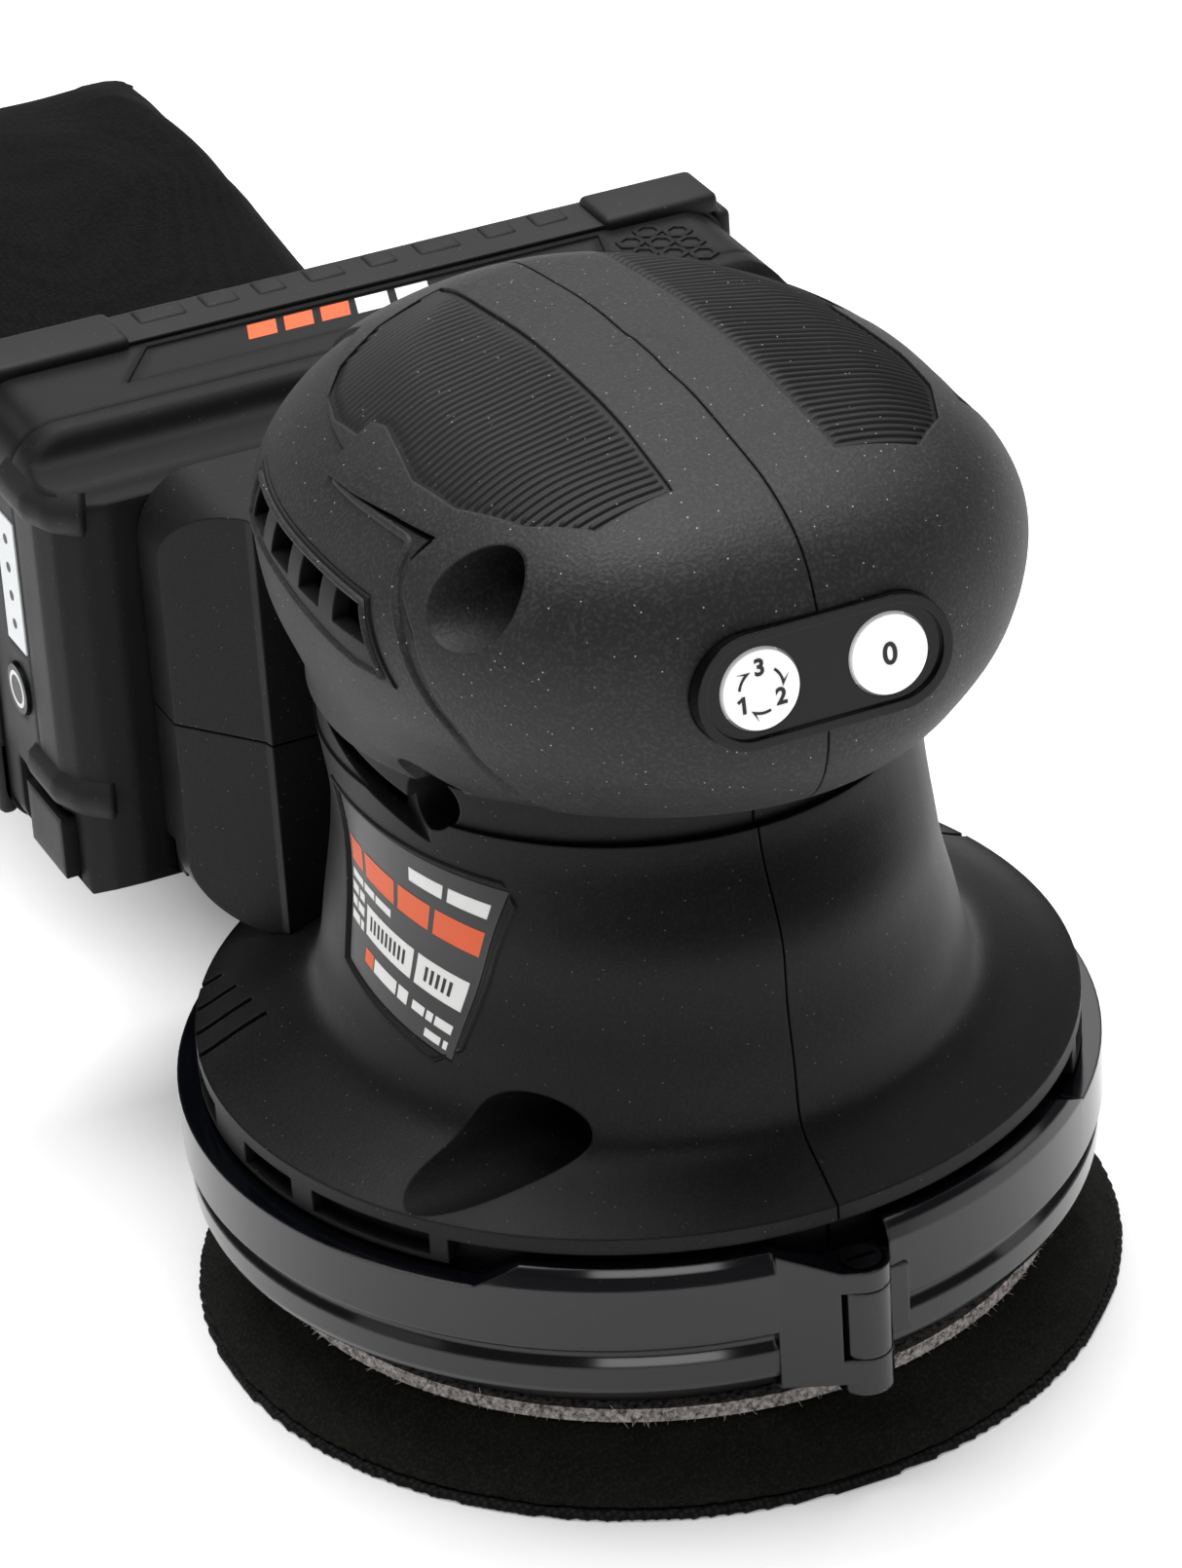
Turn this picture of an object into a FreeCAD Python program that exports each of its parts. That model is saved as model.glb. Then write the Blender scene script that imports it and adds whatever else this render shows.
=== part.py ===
import FreeCAD, Part
import math
import os

os.makedirs("parts", exist_ok=True)
V = FreeCAD.Vector

# ---------------------------------------------------------------- clearances
SEAM = 0.3            # gap between two halves of one casing
SNUG = 0.05           # between pieces fixed to each other
LOOSE = 0.3           # between pieces that move past each other
RUN = 0.05            # radial play of a running fit

# ---------------------------------------------------------------- sanding pad
PAD_R = 62.5          # working radius, a 125 mm disc
PAD_TOP_R = 53.6      # foam radius under the backing plate
PLATE_R = 53.9
HOOK_T = 1.2
FOAM_TOP = 9.4
PLATE_TOP = 11.4
ORBIT = 1.2           # offset of the pad axis from the motor axis, along +X
HOLE_R = 4.5          # dust holes
HOLE_PCR = 43.0
HOLES = 8
PAD_SCREW_PCR = 9.5
PAD_SCREWS = 4
SCREW_R = 2.0
SCREW_HEAD_R = 3.6
SPINDLE_R = 14.0
SPINDLE_TOP = 14.4
BEARING_OUT_R = 11.0
BEARING_IN_R = 4.0
BEARING_H = 7.0
ECC_BEARING_Z = 15.4

# ---------------------------------------------------------------- rotor
SHAFT_R = 4.0
SHAFT_BOTTOM = 23.4
SHAFT_TOP = 88.1
HUB_R = 13.6
HUB_TOP = 27.0
WEIGHT_R = 22.0
FAN_R = 46.0
FAN_TOP = 36.0
FAN_DISC = 1.6
BLADES = 12
MAGNETS = 4
CORE_Z = (56.0, 76.6)

# ---------------------------------------------------------------- motor frame
CAN_R = 26.4
CAN_WALL = 1.6
YOKE = 3.8            # iron inside the can
STATOR_DEPTH = 10.2   # can wall to bore
AIR_GAP = 1.2
MAGNET_T = 2.4
CAN_Z = (51.0, 81.5)
STATOR_BORE = CAN_R - CAN_WALL - STATOR_DEPTH
YOKE_IN = CAN_R - CAN_WALL - YOKE
ROTOR_R = STATOR_BORE - AIR_GAP
ROTOR_IRON_R = ROTOR_R - MAGNET_T
PLATE_Z = (48.0, 51.0)
TOP_PLATE_Z = (81.5, 84.1)
LOWER_BEARING_Z = 43.6
UPPER_BEARING_Z = 81.1
BOSS_R = 13.0

# ---------------------------------------------------------------- lower ring
SPIGOT_IN = 53.5
SPIGOT_OUT = 56.0
SPIGOT_BOTTOM = 22.6
SEAL_Z = 11.7
SHROUD_IN = 58.2
SHROUD_BOTTOM = 18.6
SHROUD_TOP = 37.2
SHROUD_LOW_TOP = 34.2
LOW_SPAN = 41.0       # half angle of the lowered edge about each side
RIM_BOTTOM = 38.8
RIM_LOW_BOTTOM = 35.2
SLOT_Z = (35.9, 39.1)
HINGE_X = 1.75
HINGE_Y = -61.4
HINGE_R = 3.7
LUG_X = -9.5          # where the lug leaves the ring
LUG_TOP = 34.0
LUG_SEAT = 32.6

# ---------------------------------------------------------------- housing
WALL = 2.6
HEAD_WALL = 3.0
NECK_TOP = 91.95
NECK_Z = 86.6
HEAD_BOTTOM = 92.0
# each ring: height, half width, front, back, slope of the normal, front and back roundness
BODY_RINGS = (
    (41.0, 58.4, -59.2, 58.4, 0.90, 2.0, 2.0),
    (42.8, 54.0, -56.4, 54.0, 0.90, 2.0, 2.0),
    (44.6, 49.4, -53.4, 49.4, 0.85, 2.0, 2.0),
    (46.3, 45.4, -50.9, 45.6, 0.70, 2.0, 2.0),
    (48.6, 42.9, -49.3, 43.2, 0.30, 2.0, 2.0),
    (53.0, 41.4, -48.7, 42.2, 0.05, 2.0, 2.0),
    (60.0, 40.0, -47.8, 42.0, 0.0, 2.0, 2.0),
    (68.0, 38.3, -47.1, 42.0, 0.0, 2.0, 2.0),
    (75.0, 37.6, -46.0, 42.0, 0.0, 2.0, 2.0),
    (80.6, 37.9, -43.2, 41.8, 0.0, 2.0, 2.0),
    (84.6, 38.4, -41.7, 41.5, 0.0, 2.0, 2.0),
    (NECK_Z, 38.7, -41.3, 41.4, 0.0, 2.0, 2.0),
)
NECK_RING = (38.3, -40.0, 40.4)
HEAD_RINGS = (
    (HEAD_BOTTOM, 39.9, -41.6, 41.4, 0.0, 2.0, 2.1),
    (94.5, 40.4, -48.5, 42.3, 0.0, 1.95, 2.1),
    (98.5, 41.7, -56.6, 43.6, 0.0, 1.9, 2.2),
    (103.0, 43.4, -60.5, 45.0, 0.0, 1.95, 2.3),
    (108.0, 44.9, -62.3, 46.2, 0.0, 2.1, 2.3),
    (113.0, 45.5, -62.6, 47.3, 0.0, 2.25, 2.25),
    (118.0, 45.2, -62.3, 47.5, 0.1, 2.4, 2.2),
    (124.0, 42.9, -61.4, 44.6, 0.38, 2.55, 2.15),
    (129.0, 39.0, -59.6, 39.6, 0.6, 2.7, 2.1),
    (133.0, 34.2, -56.8, 33.4, 0.75, 2.8, 2.0),
    (136.4, 28.7, -51.2, 26.4, 0.88, 2.85, 2.0),
    (138.6, 22.7, -43.2, 18.0, 0.95, 2.9, 1.95),
    (140.0, 16.3, -34.8, 8.0, 0.98, 2.9, 1.95),
    (141.0, 8.8, -25.0, -5.0, 1.0, 2.5, 2.0),
    (141.35, 3.0, -18.0, -12.0, 1.0, 2.0, 2.0),
)
RING_POINTS = 28

# screws that close the casing: recess radius, floor x, y, z
SCREWS = (
    (5.8, -22.0, -40.6, 127.5),
    (3.8, -27.0, -18.5, 89.0),
    (3.8, -27.0, 22.0, 89.0),
    (6.3, -20.0, -34.6, 47.4),
)
HOUSE_SCREW_R = 1.8
HOUSE_HEAD_R = 3.3
HOUSE_SCREW_END = 18.0
POST_R = 4.2

# outlines, (x, y) on the dome and (y, z) on the flanks
GRIP = (
    (10.4, 24.0), (10.2, 1.0), (10.3, -31.0), (10.8, -45.6), (21.4, -46.3), (27.6, -39.6),
    (32.0, -29.0), (33.2, -19.0), (31.0, -6.0), (31.6, -2.6), (33.6, -2.6), (33.6, 4.5),
    (31.6, 11.5), (27.4, 17.6), (20.0, 22.6),
)
FLANK = (
    (-3.0, 131.6), (-3.0, 129.3), (-12.0, 129.9), (-21.0, 130.6), (-30.2, 131.0), (-29.0, 128.4),
    (-30.0, 126.0), (-34.4, 122.0), (-38.0, 114.6), (-40.6, 109.6), (-40.6, 96.0), (-50.0, 96.0),
    (-50.0, 90.0), (60.0, 90.0), (60.0, 131.6),
)
GRILLE = (
    (17.0, 122.6), (-24.2, 122.6), (-30.4, 112.7), (-23.0, 112.5), (-1.0, 115.0), (17.0, 115.8),
)
WINDOWS = (
    ((-25.6, 116.9), (-17.4, 116.9), (-17.4, 121.2), (-23.6, 121.2)),
    ((-13.6, 117.1), (-7.6, 117.1), (-7.6, 121.3), (-13.6, 121.3)),
    ((-4.0, 117.3), (2.4, 117.3), (2.4, 121.4), (-4.0, 121.4)),
    ((6.2, 117.5), (12.4, 117.5), (12.4, 121.5), (6.2, 121.5)),
)
LABEL = ((4.6, 81.0), (-29.0, 79.6), (-24.4, 54.6), (-1.0, 59.0))
FLANK_LINE = (
    (-30.2, 131.4), (-29.0, 128.4), (-30.0, 126.0), (-34.4, 122.0), (-38.0, 114.6), (-40.6, 109.6),
    (-40.6, 95.5), (-39.4, 95.5), (-39.4, 109.3), (-36.9, 114.1), (-33.5, 121.1), (-28.9, 125.3),
    (-27.8, 128.2), (-28.4, 130.2), (-21.0, 129.8), (-12.0, 129.1), (-12.0, 129.9), (-21.0, 130.8),
)
SKIRT_GROOVES = (30.4, 25.0, 19.4, 14.2)

# ---------------------------------------------------------------- switch panel
PANEL_Y = -61.9
PANEL_Z = 118.3
PANEL_TILT = 7.5
PANEL_W = 33.6
PANEL_H = 14.7
PANEL_PROUD = 0.9
PANEL_DEPTH = 4.2
BUTTON_R = 5.0
BUTTON_X = 8.5

# ---------------------------------------------------------------- battery foot
FOOT_X = 45.6
FOOT_Y = (30.0, 50.0)
FOOT_Z = (44.0, 107.0)
FOOT_SEAM_Z = 74.0
RAIL_X = 40.0
RAIL_NECK_Z = (60.0, 92.0)
RAIL_HEAD_Z = (56.0, 96.0)
RAIL_Y = (53.4, 56.6)
BLADE_Z = (66.0, 72.0, 80.0, 86.0)
BLADE_X = (-6.0, 14.0)
BLADE_T = 1.0
BLADE_END = 62.0

# ---------------------------------------------------------------- battery
BAT_X = (-57.0, 56.0)
BAT_Y = (50.6, 66.0, 88.0)
BAT_Z = (42.0, 110.0)
BAT_FRONT_TOP = 104.0
BAT_CORNER = 7.0
CELL_R = 9.2
CELL_Y = 76.0
CELL_PITCH = 18.6
CELL_Z = (43.8, 108.4)
RIM_Y = (82.0, 91.0)
GAUGE_Y = 71.5
GAUGE_Z = 69.0
GAUGE_R = 3.6
LATCH_X = BAT_X[0] + 3.0

# ---------------------------------------------------------------- dust outlet
DUCT_Z = 31.0
DUCT_HALF = (19.0, 7.5)
DUCT_WALL = 2.0
DUCT_END = 96.0
COLLAR_WALL = 1.6
COLLAR_Y = (66.0, 100.0)
# each bag section: y, half width, half height, middle height
BAG_SECTIONS = (
    (100.0, 26.0, 13.5, 31.5),
    (108.0, 32.0, 18.5, 35.0),
    (120.0, 36.0, 22.5, 40.0),
    (145.0, 38.0, 24.5, 44.0),
    (180.0, 38.5, 25.0, 47.0),
    (215.0, 38.5, 23.0, 49.0),
    (242.0, 38.2, 17.0, 50.5),
    (260.0, 37.8, 9.0, 51.5),
    (270.0, 37.4, 4.0, 52.0),
    (278.0, 37.0, 2.4, 52.0),
)


# ================================================================ helpers
def box(x0, x1, y0, y1, z0, z1):
    return Part.makeBox(x1 - x0, y1 - y0, z1 - z0, V(x0, y0, z0))


def cyl(r, z0, z1, x=0.0, y=0.0):
    return Part.makeCylinder(r, z1 - z0, V(x, y, z0))


def cyl_x(r, x0, x1, y, z):
    return Part.makeCylinder(r, x1 - x0, V(x0, y, z), V(1, 0, 0))


def cyl_y(r, y0, y1, x, z):
    return Part.makeCylinder(r, y1 - y0, V(x, y0, z), V(0, 1, 0))


def tube(r_in, r_out, z0, z1, x=0.0, y=0.0):
    return cyl(r_out, z0, z1, x, y).cut(cyl(r_in, z0 - 1, z1 + 1, x, y))


def sector(r_in, r_out, z0, z1, start, span):
    outer = Part.makeCylinder(r_out, z1 - z0, V(0, 0, z0), V(0, 0, 1), span)
    outer.rotate(V(), V(0, 0, 1), start)
    return outer.cut(cyl(r_in, z0 - 1, z1 + 1))


def fuse(shapes):
    first = shapes[0]
    return first.multiFuse(shapes[1:]) if len(shapes) > 1 else first


def cut(shape, tools):
    return shape.cut(fuse(tools)) if len(tools) > 1 else shape.cut(tools[0])


def prism(points, direction):
    face = Part.Face(Part.makePolygon(list(points) + [points[0]]))
    return face.extrude(direction)


def prism_x(points, x0, x1):
    return prism([V(x0, y, z) for y, z in points], V(x1 - x0, 0, 0))


def prism_z(points, z0, z1):
    return prism([V(x, y, z0) for x, y in points], V(0, 0, z1 - z0))


def turned(points):
    """A solid of revolution about Z from (radius, height) points."""
    face = Part.Face(Part.makePolygon([V(r, 0, z) for r, z in points + (points[0],)]))
    return face.revolve(V(), V(0, 0, 1), 360)


def stadium_y(half_w, half_h, y0, y1, z):
    flat = half_w - half_h
    middle = box(-flat, flat, y0, y1, z - half_h, z + half_h)
    return fuse([middle, cyl_y(half_h, y0, y1, -flat, z), cyl_y(half_h, y0, y1, flat, z)])


def mirror_x(points):
    return [(-a, b) for a, b in points]


def mirrored(shape):
    return shape.mirror(V(), V(1, 0, 0))


def rounded_box(x0, x1, y0, y1, z0, z1, radius, axis):
    """A box whose four edges along one axis are rounded."""
    body = box(x0, x1, y0, y1, z0, z1)
    edges = [e for e in body.Edges if abs(e.tangentAt(e.FirstParameter).dot(axis)) > 0.99]
    return body.makeFillet(radius, edges)


def oval(half_w, front, back, z, p_front, p_back):
    """A closed smooth ring, rounder or squarer at the front and at the back."""
    middle = (front + back) / 2.0
    depth = (back - front) / 2.0
    points = []
    for i in range(RING_POINTS):
        t = 2.0 * math.pi * (i + 0.5) / RING_POINTS
        c = math.cos(t)
        s = math.sin(t)
        p = p_front if s < 0 else p_back
        r = ((abs(c) / half_w) ** p + (abs(s) / depth) ** p) ** (-1.0 / p)
        points.append(V(r * c, middle + r * s, z))
    curve = Part.BSplineCurve()
    curve.interpolate(Points=points, PeriodicFlag=True)
    return Part.Wire([curve.toShape()])


def skin(rings, inset):
    """The loft through the rings, moved inward along the surface by inset."""
    wires = []
    for z, half_w, front, back, slope, p_front, p_back in rings:
        side = inset * math.sqrt(1.0 - slope * slope)
        top = z - inset * slope
        wires.append(oval(half_w - side, front + side, back - side, top, p_front, p_back))
    return Part.makeLoft(wires, True, False)


def halves(shape):
    left = shape.common(box(-90, -SEAM / 2, -90, 90, 0, 160))
    right = shape.common(box(SEAM / 2, 90, -90, 90, 0, 160))
    return left, right


def export(name, shape):
    solids = [s for s in shape.Solids if s.Volume > 0.5]
    whole = solids[0] if len(solids) == 1 else Part.makeCompound(solids)
    whole.exportStep("parts/" + name + ".step")


# ================================================================ sanding pad
def around(count, radius, start=0.0):
    for i in range(count):
        t = math.radians(start + 360.0 * i / count)
        yield ORBIT + radius * math.cos(t), radius * math.sin(t)


dust_holes = [cyl(HOLE_R, -1, 12, x, y) for x, y in around(HOLES, HOLE_PCR, 22.5)]
screw_spots = list(around(PAD_SCREWS, PAD_SCREW_PCR, 45.0))
screw_wells = [cyl(SCREW_HEAD_R + LOOSE, -1, FOAM_TOP + 0.01, x, y) for x, y in screw_spots]
screw_holes = [cyl(SCREW_R + SNUG, FOAM_TOP - 1, SPINDLE_TOP - 0.6, x, y) for x, y in screw_spots]

hook = cut(cyl(PAD_R, 0, HOOK_T, ORBIT, 0), dust_holes + screw_wells)
foam = Part.makeCone(PAD_R, PAD_TOP_R, FOAM_TOP - HOOK_T, V(ORBIT, 0, HOOK_T))
foam = cut(foam, dust_holes + screw_wells)
plate = cut(cyl(PLATE_R, FOAM_TOP, PLATE_TOP, ORBIT, 0), dust_holes + screw_holes)
spindle = fuse([
    cyl(SPINDLE_R, PLATE_TOP, SPINDLE_TOP, ORBIT, 0),
    cyl(5.6, SPINDLE_TOP, ECC_BEARING_Z, ORBIT, 0),
    cyl(BEARING_IN_R, ECC_BEARING_Z, ECC_BEARING_Z + BEARING_H, ORBIT, 0),
])
spindle = cut(spindle, screw_holes)
pad_screws = []
for x, y in screw_spots:
    head = cyl(SCREW_HEAD_R, FOAM_TOP - 2.2, FOAM_TOP, x, y)
    socket = cyl(1.3, FOAM_TOP - 3, FOAM_TOP - 1, x, y)
    pad_screws.append(head.cut(socket).fuse(cyl(SCREW_R, FOAM_TOP, SPINDLE_TOP - 0.9, x, y)))

export("pad_hook_face", hook)
export("pad_foam", foam)
export("backing_plate", plate)
export("pad_spindle", spindle)
export("pad_screws", Part.makeCompound(pad_screws))


def bearing(z, x=0.0):
    """A deep-groove bearing with a shallow shielded groove on both faces."""
    ring = tube(BEARING_IN_R, BEARING_OUT_R, z, z + BEARING_H, x)
    low = tube(6.2, 9.0, z - 1, z + 0.5, x)
    high = tube(6.2, 9.0, z + BEARING_H - 0.5, z + BEARING_H + 1, x)
    return cut(ring, [low, high])


export("eccentric_bearing", bearing(ECC_BEARING_Z, ORBIT))
export("lower_bearing", bearing(LOWER_BEARING_Z))
export("upper_bearing", bearing(UPPER_BEARING_Z))

# ================================================================ rotor
pocket_top = ECC_BEARING_Z + BEARING_H + 0.4
weight = fuse([
    cyl(HUB_R, ECC_BEARING_Z - 0.4, HUB_TOP),
    sector(HUB_R - 1, WEIGHT_R, 17.0, 25.0, 100.0, 160.0),
])
weight = cut(weight, [
    cyl(BEARING_OUT_R + RUN, 0, pocket_top, ORBIT, 0),
    cyl(SHAFT_R + 0.01, pocket_top - 1, HUB_TOP + 1),
])
export("counterweight", weight)

disc = cyl(FAN_R, FAN_TOP - FAN_DISC, FAN_TOP)
blades = []
for i in range(BLADES):
    blade = box(24.0, FAN_R - 1.0, -0.9, 0.9, HUB_TOP + 0.6, FAN_TOP - FAN_DISC + 0.5)
    blade.rotate(V(24, 0, 0), V(0, 0, 1), 28)
    blade.rotate(V(), V(0, 0, 1), 360.0 * i / BLADES)
    blades.append(blade.common(cyl(FAN_R, 20, 40)))
fan = fuse([disc, cyl(9.0, HUB_TOP, FAN_TOP + 3.0)] + blades)
export("fan", cut(fan, [cyl(SHAFT_R + 0.01, 20, 45)]))

shaft = fuse([
    cyl(SHAFT_R, SHAFT_BOTTOM, SHAFT_TOP),
    cyl(5.4, FAN_TOP + 3.0, LOWER_BEARING_Z),
    cyl(5.4, LOWER_BEARING_Z + BEARING_H, CORE_Z[0]),
    cyl(5.4, CORE_Z[1], UPPER_BEARING_Z),
])
export("motor_shaft", shaft)
export("rotor_core", tube(SHAFT_R + 0.01, ROTOR_IRON_R, CORE_Z[0], CORE_Z[1]))
magnets = []
for i in range(MAGNETS):
    start = 360.0 * i / MAGNETS + 4.0
    arc = sector(ROTOR_IRON_R, ROTOR_R, CORE_Z[0] + 1, CORE_Z[1] - 1, start, 82.0)
    magnets.append(arc)
export("rotor_magnets", Part.makeCompound(magnets))

# ================================================================ motor frame
body_outer = fuse([skin(BODY_RINGS, 0.0), Part.Face(
    oval(NECK_RING[0], NECK_RING[1], NECK_RING[2], NECK_Z - 1.0, 2.0, 2.0)
).extrude(V(0, 0, NECK_TOP - NECK_Z + 1.0))])
neck_inner = Part.Face(oval(
    NECK_RING[0] - WALL, NECK_RING[1] + WALL, NECK_RING[2] - WALL, NECK_Z - 6.0, 2.0, 2.0
)).extrude(V(0, 0, NECK_TOP - NECK_Z + 8.0))
body_cavity = fuse([skin(BODY_RINGS, WALL), neck_inner])

lower_plate = fuse([
    cyl(CAN_R, PLATE_Z[0], PLATE_Z[1]),
    cyl(BOSS_R, LOWER_BEARING_Z, PLATE_Z[1]),
    box(-50, 50, -14, 14, PLATE_Z[0], PLATE_Z[1]),
])
lower_plate = lower_plate.common(skin(BODY_RINGS, WALL + SNUG))
lower_plate = cut(lower_plate, [
    cyl(BEARING_OUT_R, LOWER_BEARING_Z - 1, LOWER_BEARING_Z + BEARING_H),
    cyl(8.0, 40, 60),
])
export("lower_bearing_plate", lower_plate)
can = tube(CAN_R - CAN_WALL, CAN_R, CAN_Z[0], CAN_Z[1])
export("motor_can", can)
upper_plate = fuse([
    cyl(CAN_R, TOP_PLATE_Z[0], TOP_PLATE_Z[1]),
    cyl(BOSS_R, TOP_PLATE_Z[0], UPPER_BEARING_Z + BEARING_H + 1.0),
])
upper_plate = cut(upper_plate, [
    cyl(BEARING_OUT_R, UPPER_BEARING_Z - 1, UPPER_BEARING_Z + BEARING_H),
    cyl(8.0, 80, 99),
])
posts = [cyl(2.0, TOP_PLATE_Z[1], 104.0, x, y) for x in (-18, 18) for y in (-8, 8)]
upper_plate = fuse([upper_plate] + posts)
export("upper_bearing_plate", upper_plate)

teeth = []
for i in range(6):
    tooth = box(STATOR_BORE + 2.0, YOKE_IN + 1.0, -4.0, 4.0, CORE_Z[0], CORE_Z[1])
    tooth.rotate(V(), V(0, 0, 1), 60.0 * i)
    teeth.append(tooth)
core = fuse([
    tube(YOKE_IN, CAN_R - CAN_WALL, CORE_Z[0], CORE_Z[1]),
    tube(STATOR_BORE, STATOR_BORE + 2.4, CORE_Z[0], CORE_Z[1]),
] + teeth)
export("stator_core", core)
coils = []
for i in range(6):
    coil = box(STATOR_BORE + 2.6, YOKE_IN - 0.8, -5.6, 5.6, CORE_Z[0] - 3.4, CORE_Z[1] + 3.4)
    coil = coil.cut(box(0, 40, -4.0, 4.0, CORE_Z[0], CORE_Z[1]))
    coil.rotate(V(), V(0, 0, 1), 60.0 * i)
    coils.append(coil)
export("stator_windings", Part.makeCompound(coils))

# ================================================================ lower casing
rim_ring = Part.Face(oval(58.4, -59.2, 58.4, RIM_LOW_BOTTOM, 2.0, 2.0))
low_sides = [sector(10, 70, 20, 45, side - LOW_SPAN, 2 * LOW_SPAN) for side in (0.0, 180.0)]
rim = rim_ring.extrude(V(0, 0, 41.05 - RIM_LOW_BOTTOM))
rim = rim.cut(cut(cyl(90, 20, RIM_BOTTOM), low_sides))
spigot = tube(SPIGOT_IN, SPIGOT_OUT, SPIGOT_BOTTOM, 41.4)

posts = []
recesses = []
for radius, floor, y, z in SCREWS[1:]:
    posts.append(cyl_x(radius + 2.2, -60, floor + 2.5, y, z))
    posts.append(cyl_x(POST_R, floor, -SEAM / 2, y, z))
    posts.append(cyl_x(POST_R, SEAM / 2, 60, y, z))
    recesses.append(cyl_x(radius, -90, floor, y, z))
    recesses.append(cyl_x(HOUSE_SCREW_R + 0.02, floor - 1, HOUSE_SCREW_END + 1, y, z))
hold = body_outer.fuse(cyl(SPIGOT_IN + 0.5, SLOT_Z[1] - 1.2, 41.2))
inside = fuse([p.common(hold) for p in posts])
shell = fuse([body_outer.cut(body_cavity), rim.cut(cyl(SPIGOT_IN, 20, 42)), spigot, inside])

# vents round the low wall, cooling slot and step above the label, label pocket
slots = []
for start, span in ((-175.0, 11.0), (-160.0, 18.5), (164.0, 11.0), (144.0, 16.0)):
    slots.append(sector(SPIGOT_OUT, 70, SLOT_Z[0], SLOT_Z[1], start, span))
slots += [mirrored(s) for s in slots]
scoop = prism_x(((7.5, 91.2), (2.0, 92.4), (-24.0, 86.2), (-27.0, 81.8), (-17.0, 83.4)), -60, -34.4)
label_pocket = prism_x(LABEL, -60, -20).cut(skin(BODY_RINGS, 0.55))
under_skirt = skin(BODY_RINGS, 0.8)
grooves = []
for y0 in SKIRT_GROOVES:
    groove = box(-62, -46.6, y0 - 0.5, y0 + 0.5, 40.3, 60).cut(under_skirt)
    grooves += [groove, mirrored(groove)]
hole = stadium_y(DUCT_HALF[0] + SNUG, DUCT_HALF[1] + SNUG, 40, 75, DUCT_Z)
shell = cut(shell, recesses + slots + [scoop, label_pocket, hole] + grooves)
body_left, body_right = halves(shell)
export("body_shell_left", body_left)
export("body_shell_right", body_right)

label = prism_x([(y * 0.985 - 0.15, 68.5 + (z - 68.5) * 0.985) for y, z in LABEL], -60, -20)
export("rating_label", label.common(skin(BODY_RINGS, 0.15)).cut(skin(BODY_RINGS, 0.5)))

seal = turned((
    (49.6, SPIGOT_BOTTOM), (SPIGOT_OUT, SPIGOT_BOTTOM), (SPIGOT_OUT, SPIGOT_BOTTOM - 2.0),
    (52.2, SPIGOT_BOTTOM - 2.4), (52.4, 16.0), (51.8, SEAL_Z), (50.4, SEAL_Z), (50.2, 16.0),
))
export("seal_ring", seal)

# ================================================================ shroud
profile = (
    (SHROUD_IN, SHROUD_BOTTOM), (60.1, SHROUD_BOTTOM), (60.5, 19.6), (60.7, 22.9),
    (59.7, 23.9), (59.7, 24.7), (61.3, 26.0), (61.3, 34.6), (60.7, 36.4), (59.9, SHROUD_TOP),
    (SHROUD_IN, SHROUD_TOP), (SHROUD_IN, 32.8), (SPIGOT_OUT + SNUG, 32.8),
    (SPIGOT_OUT + SNUG, 31.2), (SHROUD_IN, 31.2),
)
ring = turned(profile)
low_cut = [sector(50, 70, SHROUD_LOW_TOP, 45, side - LOW_SPAN - 4, 2 * LOW_SPAN + 8)
           for side in (0.0, 180.0)]
for side in (0.0, 180.0):
    for end in (-1.0, 1.0):
        wedge = prism_x(((0, SHROUD_LOW_TOP), (7.5, SHROUD_TOP + 1), (-6, SHROUD_TOP + 1),
                         (-6, SHROUD_LOW_TOP)), 50, 70)
        if end < 0:
            wedge = wedge.mirror(V(), V(0, 1, 0))
        wedge.rotate(V(), V(0, 0, 1), side + end * (LOW_SPAN + 4))
        low_cut.append(wedge)
ring = cut(ring, low_cut + [hole])
ears = cyl(HINGE_R, 15.6, LUG_TOP, HINGE_X, HINGE_Y)
ears = ears.cut(cyl(SPIGOT_OUT + 0.6, 10, 40))
web = prism_z((
    (LUG_X, -58.0), (LUG_X, -60.5), (HINGE_X - 0.4 * HINGE_R, HINGE_Y - 0.91 * HINGE_R),
    (HINGE_X, HINGE_Y), (HINGE_X + HINGE_R, HINGE_Y), (HINGE_X + HINGE_R, -57.6),
), 17.4, SHROUD_TOP)
web = web.cut(cyl(SHROUD_IN, 10, 40))
slope = prism_x(((LUG_X - 0.4, SHROUD_TOP + 0.1), (HINGE_X - HINGE_R, LUG_TOP), (12, LUG_TOP), (12, 45),
                 (LUG_X - 0.4, 45)), 0, 18)
slope.rotate(V(), V(0, 0, 1), -90)
slope.translate(V(0, -57.0, 0))
knuckle_gap = (20.9, 31.1)
low_end = HINGE_X - HINGE_R
high_end = HINGE_X + HINGE_R
left_part = fuse([
    ring.common(fuse([box(-70, high_end + 0.1, -70, 0, 0, 50), box(-70, -SEAM / 2, -1, 70, 0, 50)])),
    ears, web,
])
left_part = cut(left_part, [
    slope,
    box(low_end - 0.3, 20, -70, -50, knuckle_gap[0], knuckle_gap[1]),
    cyl(1.5 + SNUG, 10, 40, HINGE_X, HINGE_Y),
    cyl(2.9, LUG_SEAT, 40, HINGE_X, HINGE_Y),
])
right_zone = fuse([box(high_end + 0.5, 70, -70, 0, 0, 50), box(SEAM / 2, 70, -1, 70, 0, 50)])
knuckle = cyl(HINGE_R, knuckle_gap[0] + 0.2, knuckle_gap[1] - 0.2, HINGE_X, HINGE_Y)
knuckle = fuse([knuckle.cut(cyl(SHROUD_IN, 10, 40)),
                box(HINGE_X, high_end + 3, -61.2, -58.4, 21.1, 30.9).cut(cyl(SHROUD_IN, 10, 40))])
right_part = fuse([ring.common(right_zone), knuckle]).cut(cyl(1.5 + SNUG, 10, 40, HINGE_X, HINGE_Y))
export("shroud_left", left_part)
export("shroud_right", right_part)
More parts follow.
